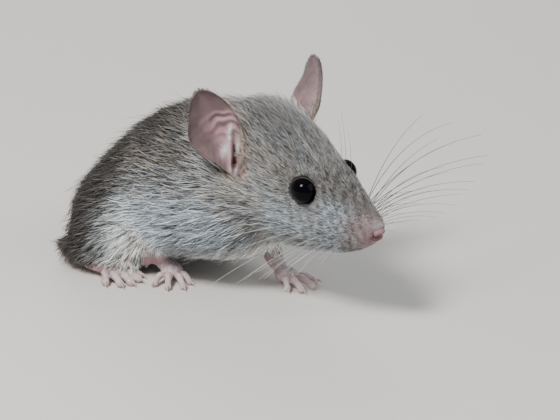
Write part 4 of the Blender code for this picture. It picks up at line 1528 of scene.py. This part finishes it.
@dataclass
class Locks:
    """Locks of hair, one row each, before they are made into meshes.

    A root lies root_depth under the skin, no point comes nearer to the floor than floor_gap, and the
    taper is the width by the share of the length.
    """

    root_depth: ClassVar[float] = 0.35
    floor_gap: ClassVar[float] = 0.05
    taper: ClassVar[tuple] = ((0, 0.35, 0.72, 1), (0.75, 1, 0.66, 0.1))
    ridge: ClassVar[float] = 0.9

    root: Array
    normal: Array
    way: Array
    bend: Array
    length: Array
    width: Array
    depth: Array
    sway: Array
    tone: Array
    marks: Array
    place: Array

    def tips(self) -> Array:
        """Tips of the locks."""
        rise = self.depth - 0.5 * self.bend * self.length**2
        return self.root + self.way * self.length[:, None] + self.normal * rise[:, None]

    def picked(self, chosen: Array) -> "Locks":
        """The chosen rows."""
        return Locks(**{name: value[chosen] for name, value in vars(self).items()})

    def surface(self, steps: Sequence[float], patch: float = 0.003) -> Surface:
        """Closed three-sided tapering blades.

        At a share s of its length a lock's middle is
        root + way L s + normal (depth (1 - (1 - s)^1.7) - bend (L s)^2 / 2) + across sway L s^2,
        and its section is a low triangle with its ridge away from the skin.

        Args:
            steps: Shares of the length with a section. The tip is a point.
            patch: Side of each lock's place on its map.

        Returns:
            One surface with the values and the map of all locks.
        """
        steps = np.asarray(steps, float)
        across = np.cross(self.normal, self.way)
        s = np.append(steps, 1)[None, :]
        run = self.length[:, None] * s
        rise = self.depth[:, None] * (1 - (1 - s) ** 1.7) - 0.5 * self.bend[:, None] * run**2
        rise[:, 0] -= self.root_depth
        line = (
            self.root[:, None, :]
            + run[..., None] * self.way[:, None, :]
            + rise[..., None] * self.normal[:, None, :]
            + (self.sway[:, None] * run * s)[..., None] * across[:, None, :]
        )
        half = 0.5 * self.width[:, None] * np.interp(steps, *self.taper)[None, :]
        middle = line[:, :-1]
        edge_a = middle - half[..., None] * across[:, None, :]
        edge_b = middle + half[..., None] * across[:, None, :]
        ridge = middle + self.ridge * half[..., None] * self.normal[:, None, :]
        count, sections = len(self.root), len(steps)
        body = np.stack([edge_a, edge_b, ridge], axis=2).reshape(count, sections * 3, 3)
        points = np.concatenate([body, line[:, -1:]], axis=1)
        faces = [(0, 1, 2)]
        for i in range(sections - 1):
            for j in range(3):
                k = (j + 1) % 3
                faces += [(3 * i + j, 3 * i + 3 + k, 3 * i + k), (3 * i + j, 3 * i + 3 + j, 3 * i + 3 + k)]
        last = 3 * (sections - 1)
        faces += [(last + j, 3 * sections, last + (j + 1) % 3) for j in range(3)]
        points[..., 2] = np.maximum(points[..., 2], self.floor_gap)
        each = 3 * sections + 1
        all_faces = (np.asarray(faces)[None] + (np.arange(count) * each)[:, None, None]).reshape(-1, 3)
        along = np.append(np.repeat(steps, 3), 1)
        strand = np.zeros((count, each, 4))
        strand[..., 0] = along[None, :]
        strand[..., 1] = self.tone[:, None]
        sideways = np.append(np.tile([-0.5, 0.5, 0], sections), 0)
        corner = np.stack([sideways, along - 0.5], axis=1) * patch
        uv = np.clip(self.place[:, None, :], patch, 1 - patch) + corner[None]
        values = {"marks": np.repeat(self.marks, each, axis=0), "strand": strand.reshape(-1, 4)}
        return Surface(points.reshape(-1, 3), all_faces, values, uv.reshape(-1, 2))


@dataclass
class Coat:
    """All the locks that grow from the skin.

    Guard hairs are a share of the locks where the coat is wide, with factors for their sizes. A
    spread is a deviation with the least and greatest factor. Flecks are a share of the locks (for
    light ones 1 less it) with their tone or, for warm ones, ochre. Most is a piece's triangles.
    """

    build: Build
    skin: Surface
    table: CoatTable = CoatTable()
    seed: int = 11
    long_steps: tuple = (0, 0.36, 0.72)
    short_steps: tuple = (0, 0.5)
    most: int = 190000
    guard_share: float = 0.07
    guard_widths: Pair = (0.22, 0.10)
    guard_length: float = 1.15
    guard_depth: float = 1.55
    guard_width: float = 0.55
    length_spread: Triple = (0.16, 0.6, 1.5)
    depth_spread: Triple = (0.20, 0.35, 1.35)
    way_spread: float = 0.16
    dark_flecks: Pair = (0.13, 0.12)
    light_flecks: Pair = (0.93, 0.90)
    warm_flecks: Pair = (0.30, 0.55)
    waves: int = 14
    paw_density: float = 14.0
    short: float = 3.2
    root_gap: float = 0.45
    tip_gap: float = 0.15

    def bending(self) -> Array:
        """How the skin's normal turns with place: a three by three matrix for each point.

        It is the least-squares fit of dn = S dx over the edges that meet at the point.
        """
        skin = self.skin
        normals = skin.normals()
        edges = skin.edges()
        step = skin.points[edges[:, 1]] - skin.points[edges[:, 0]]
        turn = normals[edges[:, 1]] - normals[edges[:, 0]]
        square = np.einsum("ni,nj->nij", step, step)
        product = np.einsum("ni,nj->nij", turn, step)
        left = np.tile(np.eye(3) * 1e-3, (len(skin.points), 1, 1))
        right = np.zeros_like(left)
        for k in range(2):
            np.add.at(left, edges[:, k], square)
            np.add.at(right, edges[:, k], product)
        return skin.eased(right @ np.linalg.inv(left), 8)

    def plan(self, points: Array, on_paw: Array) -> Array:
        """Depth, length, width and density at each place, with the short hair of the paws on them."""
        found = self.table.at(self.build, points)
        paw = np.minimum(found, self.table.paw)
        paw[:, DENSITY] = np.minimum(found[:, DENSITY], self.paw_density)
        return blend(found, paw, ramp(on_paw, 0.2, 0.8)[:, None])

    def clumps(self, points: Array) -> Array:
        """A random field of about unit spread, told by a sum of plane waves 0.8 to 2 mm long."""
        rng = np.random.default_rng(self.seed + 1)
        ways = unit(rng.normal(0, 1, (self.waves, 3)))
        ways = ways * (math.tau / rng.uniform(0.8, 2, self.waves))[:, None]
        waves = np.sin(points @ ways.T + rng.uniform(0, math.tau, self.waves))
        return waves.sum(axis=1) / math.sqrt(self.waves / 2)

    def scattered(self, rng: np.random.Generator) -> tuple[Array, Array]:
        """Roots spread by the coat's density: the three points about each, and its shares of them."""
        skin = self.skin
        corners = skin.points[skin.faces]
        area = 0.5 * size_of(np.cross(corners[:, 1] - corners[:, 0], corners[:, 2] - corners[:, 0]))
        on_paw = skin.values["flesh"][:, 3]
        weight = area * self.plan(corners.mean(axis=1), on_paw[skin.faces].mean(axis=1))[:, DENSITY]
        total = np.cumsum(weight)
        count = int(total[-1])
        pick = np.searchsorted(total, (np.arange(count) + rng.random(count)) / count * total[-1])
        pick = np.minimum(pick, len(weight) - 1)
        a, b = rng.random(count), rng.random(count)
        over = a + b > 1
        a, b = np.where(over, 1 - a, a), np.where(over, 1 - b, b)
        return skin.faces[pick], np.stack([1 - a - b, a, b], axis=1)

    def grown(self) -> Locks:
        """Locks over the whole skin, with all that each needs, clear of what stays bare."""
        rng = np.random.default_rng(self.seed)
        skin, build = self.skin, self.build
        index, share = self.scattered(rng)
        count = len(index)
        root = np.einsum("ni,nij->nj", share, skin.points[index])
        normal = unit(np.einsum("ni,nij->nj", share, skin.normals()[index]))
        way = Lie(build).at(root, normal)
        turn = np.einsum("ni,nijk->njk", share, self.bending()[index])
        bend = np.clip(np.einsum("ni,nij,nj->n", way, turn, way), -0.04, 0.30)
        plan = self.plan(root, np.einsum("ni,ni->n", share, skin.values["flesh"][:, 3][index]))
        jitter = rng.normal(0, 1, (count, 4))
        way = unit(way + (self.way_spread * jitter[:, 0])[:, None] * np.cross(normal, way))
        guard = rng.random(count) < self.guard_share * fall(plan[:, WIDTH], *self.guard_widths)
        spread, *limits = self.length_spread
        length = plan[:, LENGTH] * np.clip(1 + spread * jitter[:, 1], *limits)
        length = length * np.where(guard, self.guard_length, 1)
        spread, *limits = self.depth_spread
        depth = plan[:, DEPTH] * np.clip(0.88 + spread * jitter[:, 2], *limits)
        depth = depth * np.where(guard, self.guard_depth, 1)
        width = plan[:, WIDTH] * np.where(guard, self.guard_width, 1) * rng.uniform(0.75, 1.2, count)
        marks = Markings(build).at(root)
        upper = build.trunk_share(root)[0] > 0.5
        marks[guard & upper, BLACK] = 0.95
        marks[guard & ~upper & (build.headness(root) > 0.3), CREAM] = 0.95
        # Beside the random tone, locks of raised clumps are lighter and those of sunken ones darker: painted
        # light and shade.
        clump = self.clumps(root)
        depth = depth * (1 + 0.22 * np.clip(clump, -1.5, 1.5))
        tone = np.clip(0.5 + 0.15 * jitter[:, 3] + 0.20 * clump, 0.02, 0.98)
        tone = np.clip(tone + 0.22 * marks[:, CREAM], 0.02, 0.98)
        fleck = rng.random(count)
        tone = np.where(fleck > self.light_flecks[0], self.light_flecks[1], tone)
        tone = np.where(fleck < self.dark_flecks[0], self.dark_flecks[1], tone)
        warm = self.warm_flecks[1] * (rng.random(count) < self.warm_flecks[0])
        lift(marks, OCHRE, warm * (1 - marks[:, CREAM]) * (1 - 0.5 * marks[:, SILVER]))
        sway = rng.normal(0, 0.10, count)
        found = Locks(root, normal, way, bend, length, width, depth, sway, tone, marks, np.zeros((count, 2)))
        found = found.picked(self.clear_of_features(found))
        self.laid(found)
        return found.picked(found.tips()[:, 2] > self.tip_gap)

    def laid(self, locks: Locks) -> None:
        """Bends each lock until its tip stands off the nearest skin by its own depth."""
        nearest = NearestPoints(self.skin.points)
        normals = self.skin.normals()
        for _ in range(3):
            tip = locks.tips()
            name = nearest.at(tip)
            stand = dot(tip - self.skin.points[name], normals[name])
            facing = np.maximum(0.35, dot(locks.normal, normals[name]))
            excess = np.clip((stand - locks.depth) / facing, -1, 3)
            locks.bend = np.clip(locks.bend + 2 * excess / locks.length**2, -0.02, 1 / locks.length)

    def clear_of_features(self, locks: Locks) -> Array:
        """True for locks whose roots and tips keep off eyes, nose pad, ears, paws and floor."""
        build = self.build
        tip = locks.root + locks.way * locks.length[:, None]
        keep = ~build.in_ear(locks.root) & ~build.in_ear(tip)
        for side in Side:
            centre = build.head.eye_centre(side)
            keep &= size_of(locks.root - centre) > build.head.eye_radius + 0.05
            keep &= size_of(tip - centre) > build.head.eye_radius + 0.02
            for share in (build.paw_share(locks.root, side)[0], build.hind_foot_share(locks.root, side)):
                keep &= (share < 0.5) | (locks.normal[:, 2] > 0.25)
        behind, left, up = build.head.local(locks.root)
        keep &= span((behind - 1) / 1.5, left / 1.95, (up + 1.25) / 1.6) > 1
        return keep & (locks.root[:, 2] > self.root_gap) & (tip[:, 2] > self.tip_gap)

    def unwrapped(self, locks: Locks) -> Array:
        """Each root's angle about the body, from 0 to 1, and its place from nose to rump in millimetres."""
        build = self.build
        behind, left, up = build.head.local(locks.root)
        around_head = np.arctan2(left, up + 5)
        middle = np.interp(locks.root[:, 0], [-26, 37], [8, 29])
        around_trunk = np.arctan2(locks.root[:, 1], locks.root[:, 2] - middle)
        head = build.headness(locks.root) > 0.5
        angle = np.where(head, around_head, around_trunk)
        spine = np.where(head, behind, 70 - locks.root[:, 0])
        return np.stack([angle / math.tau + 0.5, spine], axis=1)

    def pieces(self) -> list[tuple[str, Surface]]:
        """The locks in pieces from nose to rump, each with a map of its own."""
        locks = self.grown()
        place = self.unwrapped(locks)
        short = locks.length < self.short
        found: list[tuple[str, Surface]] = []
        for label, chosen, steps in (("face", short, self.short_steps), ("body", ~short, self.long_steps)):
            each = 4 + 6 * (len(steps) - 1)
            rows = np.flatnonzero(chosen)
            rows = rows[np.argsort(place[rows, 1], kind="stable")]
            parts = math.ceil(len(rows) * each / self.most)
            for number, part in enumerate(np.array_split(rows, parts)):
                group = locks.picked(part)
                low, high = place[part, 1].min(), place[part, 1].max()
                group.place = np.stack([place[part, 0], (place[part, 1] - low) / (high - low)], axis=1)
                found.append((f"coat_{label}_{number + 1}", group.surface(steps)))
        return found


@dataclass(frozen=True)
class FineHairs:
    """Short fine hairs on the ears and bristles on the tail."""

    build: Build
    ear_count: int = 2600
    tail_count: int = 5200
    seed: int = 5

    def on_ear(self, side: Side, ear: Surface) -> Locks:
        """Hairs from the rim and the back of one ear, leaning to its tip."""
        rng = np.random.default_rng(self.seed + side.value)
        stance = self.build.ear(side)
        height, reach, _ = stance.local(ear.points)
        normals = ear.normals()
        outer = np.einsum("ij,j->i", normals, stance.axes()[2]) < -0.3
        ahead, behind = self.build.ear_outline(height)
        rim = (reach > ahead - 0.5) | (reach < 0.5 - behind)
        weight = np.where(outer, 1, np.where(rim & (height > 5), 0.4, 0)) * (height > 0)
        tuft = ~outer & (height < 6.5) & (reach > EarShape.slit_at(height) + 1.7) & (height > -4)
        weight = np.where(tuft, 2.6, weight)
        index = rng.choice(len(ear.points), self.ear_count, p=weight / weight.sum())
        tuft = tuft[index]
        root, normal = ear.points[index], normals[index]
        rise, front, _ = stance.axes()
        flow = rise + np.outer(rng.normal(0, 0.25, len(index)), front)
        flow = np.where(tuft[:, None], flow - 0.75 * front, flow)
        flow = unit(flow - dot(flow, normal)[:, None] * normal)
        size = len(index)
        low = fall(height[index], 0, 6)
        marks = np.tile([0.12, 0.5, 0, 0], (size, 1))
        marks[:, OCHRE] = np.where(tuft, 0.85, 0)
        marks[:, BLACK] = 0.6 * ramp(height[index], 6, 14) * ~tuft
        place = np.stack([reach[index] / 20 + 0.5, height[index] / 22 + 0.2], axis=1)
        length = rng.uniform(0.5, 1, size) * (1 + 1.6 * low)
        width = rng.uniform(0.035, 0.055, size) * (1 + 0.4 * low)
        depth, sway = rng.uniform(0.10, 0.30, size), rng.normal(0, 0.1, size)
        tone = rng.uniform(0.25, 0.62, size)
        return Locks(root, normal, flow, 0 * low, length, width, depth, sway, tone, marks, place)

    def on_tail(self, tail: Tail) -> Locks:
        """Bristles that lean to the tip of the tail."""
        rng = np.random.default_rng(self.seed)
        path, radii = tail.line()
        path = path - [0, 0, tail.inset]
        size = self.tail_count
        share = np.sort(rng.random(size))
        index = (share * (len(path) - 5)).astype(int)
        along = unit(np.gradient(path, axis=0))[index]
        side = level_side(along)
        up = np.cross(along, side)
        angle = rng.uniform(-0.25 * math.pi, 1.25 * math.pi, size)
        normal = np.cos(angle)[:, None] * side + np.sin(angle)[:, None] * up
        root = path[index] + normal * (radii[index] - tail.inset)[:, None] * 0.97
        marks = np.tile([0, 0.35, 0, 0.45], (size, 1))
        place = np.stack([angle / math.tau % 1, share], axis=1)
        length = rng.uniform(0.8, 1.3, size) * (0.6 + 0.2 * radii[index])
        width, depth = rng.uniform(0.05, 0.08, size), rng.uniform(0.05, 0.14, size)
        sway, tone = rng.normal(0, 0.08, size), rng.uniform(0.2, 0.9, size)
        return Locks(root, normal, along, np.zeros(size), length, width, depth, sway, tone, marks, place)


@dataclass(frozen=True)
class Whiskers:
    """Long tapering hairs on the muzzle, above the eyes and on the cheeks.

    Each row of the pad holds a few whiskers, told by the way and length of its rearmost one. Those
    that stand alone on brow, cheek and chin are told by their places behind and above the nose tip
    and their lengths. The animal's left is the far side.
    """

    build: Build
    far_ways: tuple = (
        (-2, 20, 25), (0, 20, 23), (3, 26, 15.5),
        (2, 26, 12), (-3, 22, 7),
    )
    near_ways: tuple = (
        (-13.5, -13, 5.5), (-18.5, -13, -0.5), (-19, -12.5, -6.2),
        (-17, -10.5, -8.7), (-12.7, -8, -9),
    )
    far_lengths: tuple = (29, 36, 42, 36, 19)
    near_lengths: tuple = (18, 22, 25, 19, 12.5)
    far_droop: tuple = (0, 0.17, -0.37)
    near_droop: tuple = (-0.02, -0.05, -0.24)
    lone: tuple = (
        (13, 4.2, 10), (14.6, 4.9, 12), (16, 5.3, 9), (24, -8, 9), (11, -12, 6),
    )
    columns: int = 5
    thickness: float = 0.095
    near_thickness: float = 0.62
    lone_thickness: float = 0.6
    taper: float = 0.68
    floor: float = 0.5
    seed: int = 3

    def line(self, root: Array, way: Array, length: float, droop: Array, size: float = 1.0) -> Surface:
        """One whisker: root + way L s + droop L s^2, a tapering round tube kept off the floor.

        Args:
            root: Where it leaves the skin.
            way: The way that it leaves.
            length: Its length L.
            droop: How its tip is drawn aside.
            size: Its thickness as a share of the thickest.

        Returns:
            The tube, with the share s along it.
        """
        s = np.linspace(0, 1, 16)
        path = root + np.outer(s, way) * length + np.outer(s**2, droop) * length
        path[:, 2] = np.maximum(path[:, 2], self.floor)
        along = unit(np.gradient(path, axis=0))
        side = unit(np.cross([0.1, 0.2, 1], along))
        radii = size * self.thickness * (1 - self.taper * s)
        surface = ring_surface(pipe(path, side, along, radii, 6))
        return surface.painted("strand", np.append(np.repeat(s, 6), [0, 1]))

    def root_at(self, behind: float, up: float, side: Side) -> Array:
        """Place on the muzzle's side at a distance behind the nose and a level."""
        table = np.asarray(self.build.head_stations)
        width, level, top, bottom = (np.interp(behind, table[:, 0], table[:, k]) for k in (2, 1, 3, 4))
        reach = (up - level) / ((top - level) if up > level else (level - bottom))
        out = max(width - 0.5, 0.4) * math.sqrt(max(0.08, 1 - reach**2))
        return self.build.head.place([-behind, out * side.value, up])

    def surface(self, side: Side) -> Surface:
        """The whiskers of one side, short ones ahead and long ones behind in each row."""
        rng = np.random.default_rng(self.seed + side.value)
        ways, lengths, sag, thickness = self.far_ways, self.far_lengths, self.far_droop, 1
        if side is Side.RIGHT:
            ways, lengths, sag = self.near_ways, self.near_lengths, self.near_droop
            thickness = self.near_thickness
        found = []
        for row, (way, length) in enumerate(zip(ways, lengths)):
            for column in range(self.columns):
                share = column / (self.columns - 1)
                root = self.root_at(3.4 + 5.4 * share + 0.3 * row, -1.5 - 1.35 * row - 0.8 * share, side)
                ahead = np.array([0.55, 0.25 * side.value, 0.10]) * (1 - share)
                lean = unit(unit(np.asarray(way)) + ahead + rng.normal(0, 0.045, 3))
                droop = np.array(sag) * rng.uniform(0.75, 1.2)
                size = (0.30 + 0.70 * share) * rng.uniform(0.85, 1.1)
                found.append(self.line(root, lean, length * size, droop, (0.62 + 0.38 * share) * thickness))
        for behind, up, length in self.lone:
            way = unit(np.array([-0.30, 0.30 * side.value, 0.9 if up > 0 else -0.35]))
            droop = np.array([-0.15, 0.05 * side.value, -0.05])
            found.append(self.line(self.root_at(behind, up, side), way, length, droop, self.lone_thickness))
        return joined(found)


@dataclass(frozen=True)
class Eyes:
    """The wet black eyeballs."""

    head: HeadCarriage
    swell: float = 0.02
    swell_width: float = 0.9

    def surface(self, side: Side) -> Surface:
        """A ball whose front swells as the cornea: radius R (1 + swell bump), by the angle off the axis."""
        axis = self.head.eye_axis(side)
        shape = ball(np.zeros(3), (1, 1, 1), rows=46, around=72)
        way = unit(shape.points)
        swell = 1 + self.swell * bump(np.arccos(np.clip(way @ axis, -1, 1)), self.swell_width)
        shape.points = self.head.eye_centre(side) + way * (self.head.eye_radius * swell)[:, None]
        return shape


@dataclass(frozen=True)
class Studio:
    """Camera, pale floor and soft lights.

    A lamp is its name, place in the camera's right, up and back, side, power and colour.
    """

    shift: Array
    azimuth: float = 46.986
    elevation: float = 20.0
    lens: float = 720.0
    frame_width: float = 120.0
    target: Pair = (21.43, 10.91)
    sensor: float = 36.0
    lamps: tuple = (
        ("key", (-230, 360, 400), 170, 4.6, (1, 0.985, 0.96)),
        ("fill", (420, 200, 260), 420, 0.9, (0.94, 0.97, 1)),
        ("back", (-60, 380, -420), 320, 1.5, (1, 1, 1)),
    )
    lit_height: float = 20.0
    sky: tuple = (0.78, 0.80, 0.84, 1)
    sky_strength: float = 0.5
    floor_half: float = 3.0
    floor_finish: Finish = Finish("floor", "floor", 0.8, colour=(0.62, 0.60, 0.57, 1), specular=0.2)

    def axes(self) -> Array:
        """Right, up and towards the camera. Azimuth runs from straight ahead to the animal's right."""
        a, e = math.radians(self.azimuth), math.radians(self.elevation)
        back = np.array([math.cos(a) * math.cos(e), -math.sin(a) * math.cos(e), math.sin(e)])
        right = level_side(back)
        return np.array([right, np.cross(back, right), back])

    def stand(self, obj: bpy.types.Object, place: Array, axes: Array) -> None:
        """Puts an object at a place in millimetres, with its own axes along the rows given."""
        matrix = np.eye(4)
        matrix[:3, :3] = axes.T
        matrix[:3, 3] = place * MM
        obj.matrix_world = Matrix(matrix.tolist())
        bpy.context.scene.collection.objects.link(obj)

    def camera(self) -> None:
        """A long lens, so far away that frame_width fills the picture."""
        data = bpy.data.cameras.new("camera")
        data.lens = self.lens
        data.sensor_width = self.sensor
        data.clip_start = 0.01
        right, up, back = self.axes()
        middle = right * self.target[0] + up * self.target[1] + self.shift
        obj = bpy.data.objects.new("camera", data)
        self.stand(obj, middle + back * self.frame_width * self.lens / self.sensor, self.axes())
        bpy.context.scene.camera = obj

    def light(self, name: str, way: Sequence[float], size: float, power: float, colour: tuple) -> None:
        """A soft square light that faces the animal.

        Args:
            name: Name of the light.
            way: Where it stands, in the camera's right, up and back, in millimetres.
            size: Its side in millimetres.
            power: Its power in watts.
            colour: Its colour.
        """
        data = bpy.data.lights.new(name, "AREA")
        data.size = size * MM
        data.energy = power
        data.color = colour
        away = np.asarray(way, float) @ self.axes()
        back = unit(away)
        right = level_side(back)
        axes = np.array([right, np.cross(back, right), back])
        self.stand(bpy.data.objects.new(name, data), away + [0, 0, self.lit_height], axes)

    def floor(self) -> None:
        """A wide pale floor at z = 0."""
        mesh = bpy.data.meshes.new("floor")
        half = self.floor_half
        corners = [(-half, -half, 0), (half, -half, 0), (half, half, 0), (-half, half, 0)]
        mesh.from_pydata(corners, [], [(0, 1, 2, 3)])
        obj = bpy.data.objects.new("floor", mesh)
        bpy.context.scene.collection.objects.link(obj)
        mesh.materials.append(self.floor_finish.material())
        obj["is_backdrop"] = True

    def build(self) -> None:
        """Sets up all of it."""
        self.camera()
        self.floor()
        for lamp in self.lamps:
            self.light(*lamp)
        world = bpy.data.worlds.new("studio")
        world.use_nodes = True
        sky = world.node_tree.nodes["Background"]
        sky.inputs["Color"].default_value = self.sky
        sky.inputs["Strength"].default_value = self.sky_strength
        bpy.context.scene.world = world


# ---------------------------------------------------------------- assembly


@dataclass
class YoungRat:
    """The whole animal."""

    build: Build
    shop: Workshop

    skin_finish: Finish = SkinFinish("bare_skin", "bare_skin", 0.55)
    coat_finish: Finish = CoatFinish("coat", "coat_brown", 0.62, specular=0.35)
    head_finish: Finish = CoatFinish("coat_head", "coat_grey", 0.60, specular=0.35)
    eye_finish: Finish = Finish("eye_black", "eye_black", 0.03, (0.001, 0.001, 0.002, 1), 0.08)
    claw_finish: Finish = FadingFinish(
        "claw_horn", "claw_horn", 0.35, (0.48, 0.32, 0.26, 1), tip=(0.62, 0.52, 0.42, 1)
    )
    whisker_finish: Finish = FadingFinish(
        "whiskers", "coat_grey", 0.3, (0.030, 0.026, 0.024, 1), tip=(0.09, 0.08, 0.075, 1)
    )
    # Painted highlight: the near whiskers pale towards their tips as if lit; the far ones keep their dark
    # colour.
    pale_whisker_finish: Finish = FadingFinish(
        "pale_whiskers", "coat_grey", 0.3, (0.030, 0.026, 0.025, 1), tip=(0.88, 0.86, 0.83, 1)
    )
    fine_steps: Pair = (0, 0.5)

    def dress_skin(self) -> tuple[Surface, dict[Side, Surface]]:
        """The skin in one piece. Returns the part of it that the coat grows from, and the ears."""
        build = self.build
        flesh = Flesh(build).surface()
        ears = {side: EarShape(build.ear(side)).surface() for side in Side}
        paws = Paws(build)
        flesh = joined([flesh, *(paw for side in Side for paw in (paws.fore(side), paws.hind(side)))])
        parts = [flesh, *ears.values(), NosePad(build.head).surface(), Tail(build).surface()]
        parts += [Lids(build.head, side).surface() for side in Side]
        nodes = ["head", "neck", "trunk", "nose", "tail_base", "tail_middle", "tail_tip"]
        pairs = ("ear", "foreleg", "forepaw", "hind_leg", "hind_foot")
        nodes += [f"{part}_{side.label}" for side in Side for part in pairs]
        skin = joined(parts)
        skin.points[:, 2] = np.maximum(skin.points[:, 2], 0)
        self.shop.finish("skin", skin, self.skin_finish, nodes)
        return flesh, ears

    def dress_coat(self, flesh: Surface, ears: dict[Side, Surface]) -> None:
        """Locks over the body, fine hairs on ears and tail, and whiskers."""
        for name, surface in Coat(self.build, flesh).pieces():
            self.shop.finish(name, surface, self.coat_finish)
        fine = FineHairs(self.build)
        for side in Side:
            hairs = fine.on_ear(side, ears[side]).surface(self.fine_steps)
            self.shop.finish(f"ear_hairs_{side.label}", hairs, self.head_finish)
        bristles = fine.on_tail(Tail(self.build)).surface(self.fine_steps)
        self.shop.finish("tail_bristles", bristles, self.coat_finish)
        for side in Side:
            whiskers = Whiskers(self.build).surface(side)
            # The near side's whiskers carry the painted highlight.
            finish = self.whisker_finish if side is Side.LEFT else self.pale_whisker_finish
            self.shop.finish(f"whiskers_{side.label}", whiskers, finish)

    def dress_features(self) -> None:
        """Eyes and claws."""
        paws = Paws(self.build)
        for side in Side:
            eyeball = Eyes(self.build.head).surface(side)
            self.shop.finish(f"eyeball_{side.label}", eyeball, self.eye_finish, [f"eye_{side.label}"])
            for label, digits in (("fore", paws.fore_digits(side)), ("hind", paws.hind_digits(side))):
                count = len(digits.rows)
                claws = joined([digits.claw(index) for index in range(count)])
                nodes = [f"claw_{label}_{side.label}_{index + 1}" for index in range(count)]
                self.shop.finish(f"claws_{label}_{side.label}", claws, self.claw_finish, nodes)

    def dress(self) -> None:
        """All of the animal."""
        flesh, ears = self.dress_skin()
        self.dress_features()
        self.dress_coat(flesh, ears)


def write_sizes() -> None:
    """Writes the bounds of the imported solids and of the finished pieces."""
    low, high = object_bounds()
    corners = (np.round(np.array(corner) / MM, 1).tolist() for corner in (CAD_LOW, CAD_HIGH, low, high))
    LOG.info("bounds: packed %s %s, finished %s %s", *corners)


def main() -> None:
    """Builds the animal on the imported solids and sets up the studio."""
    logging.basicConfig(level=logging.INFO, format="%(message)s")
    build = Build()
    low, high = (np.array(corner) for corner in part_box("eye_right"))
    shift = 0.5 * (low + high) / MM - build.head.eye_centre(Side.RIGHT)
    LOG.info("shift %s", np.round(shift, 3).tolist())
    YoungRat(build, Workshop(shift)).dress()
    Studio(shift).build()
    write_sizes()


if __name__ == "__main__":
    main()
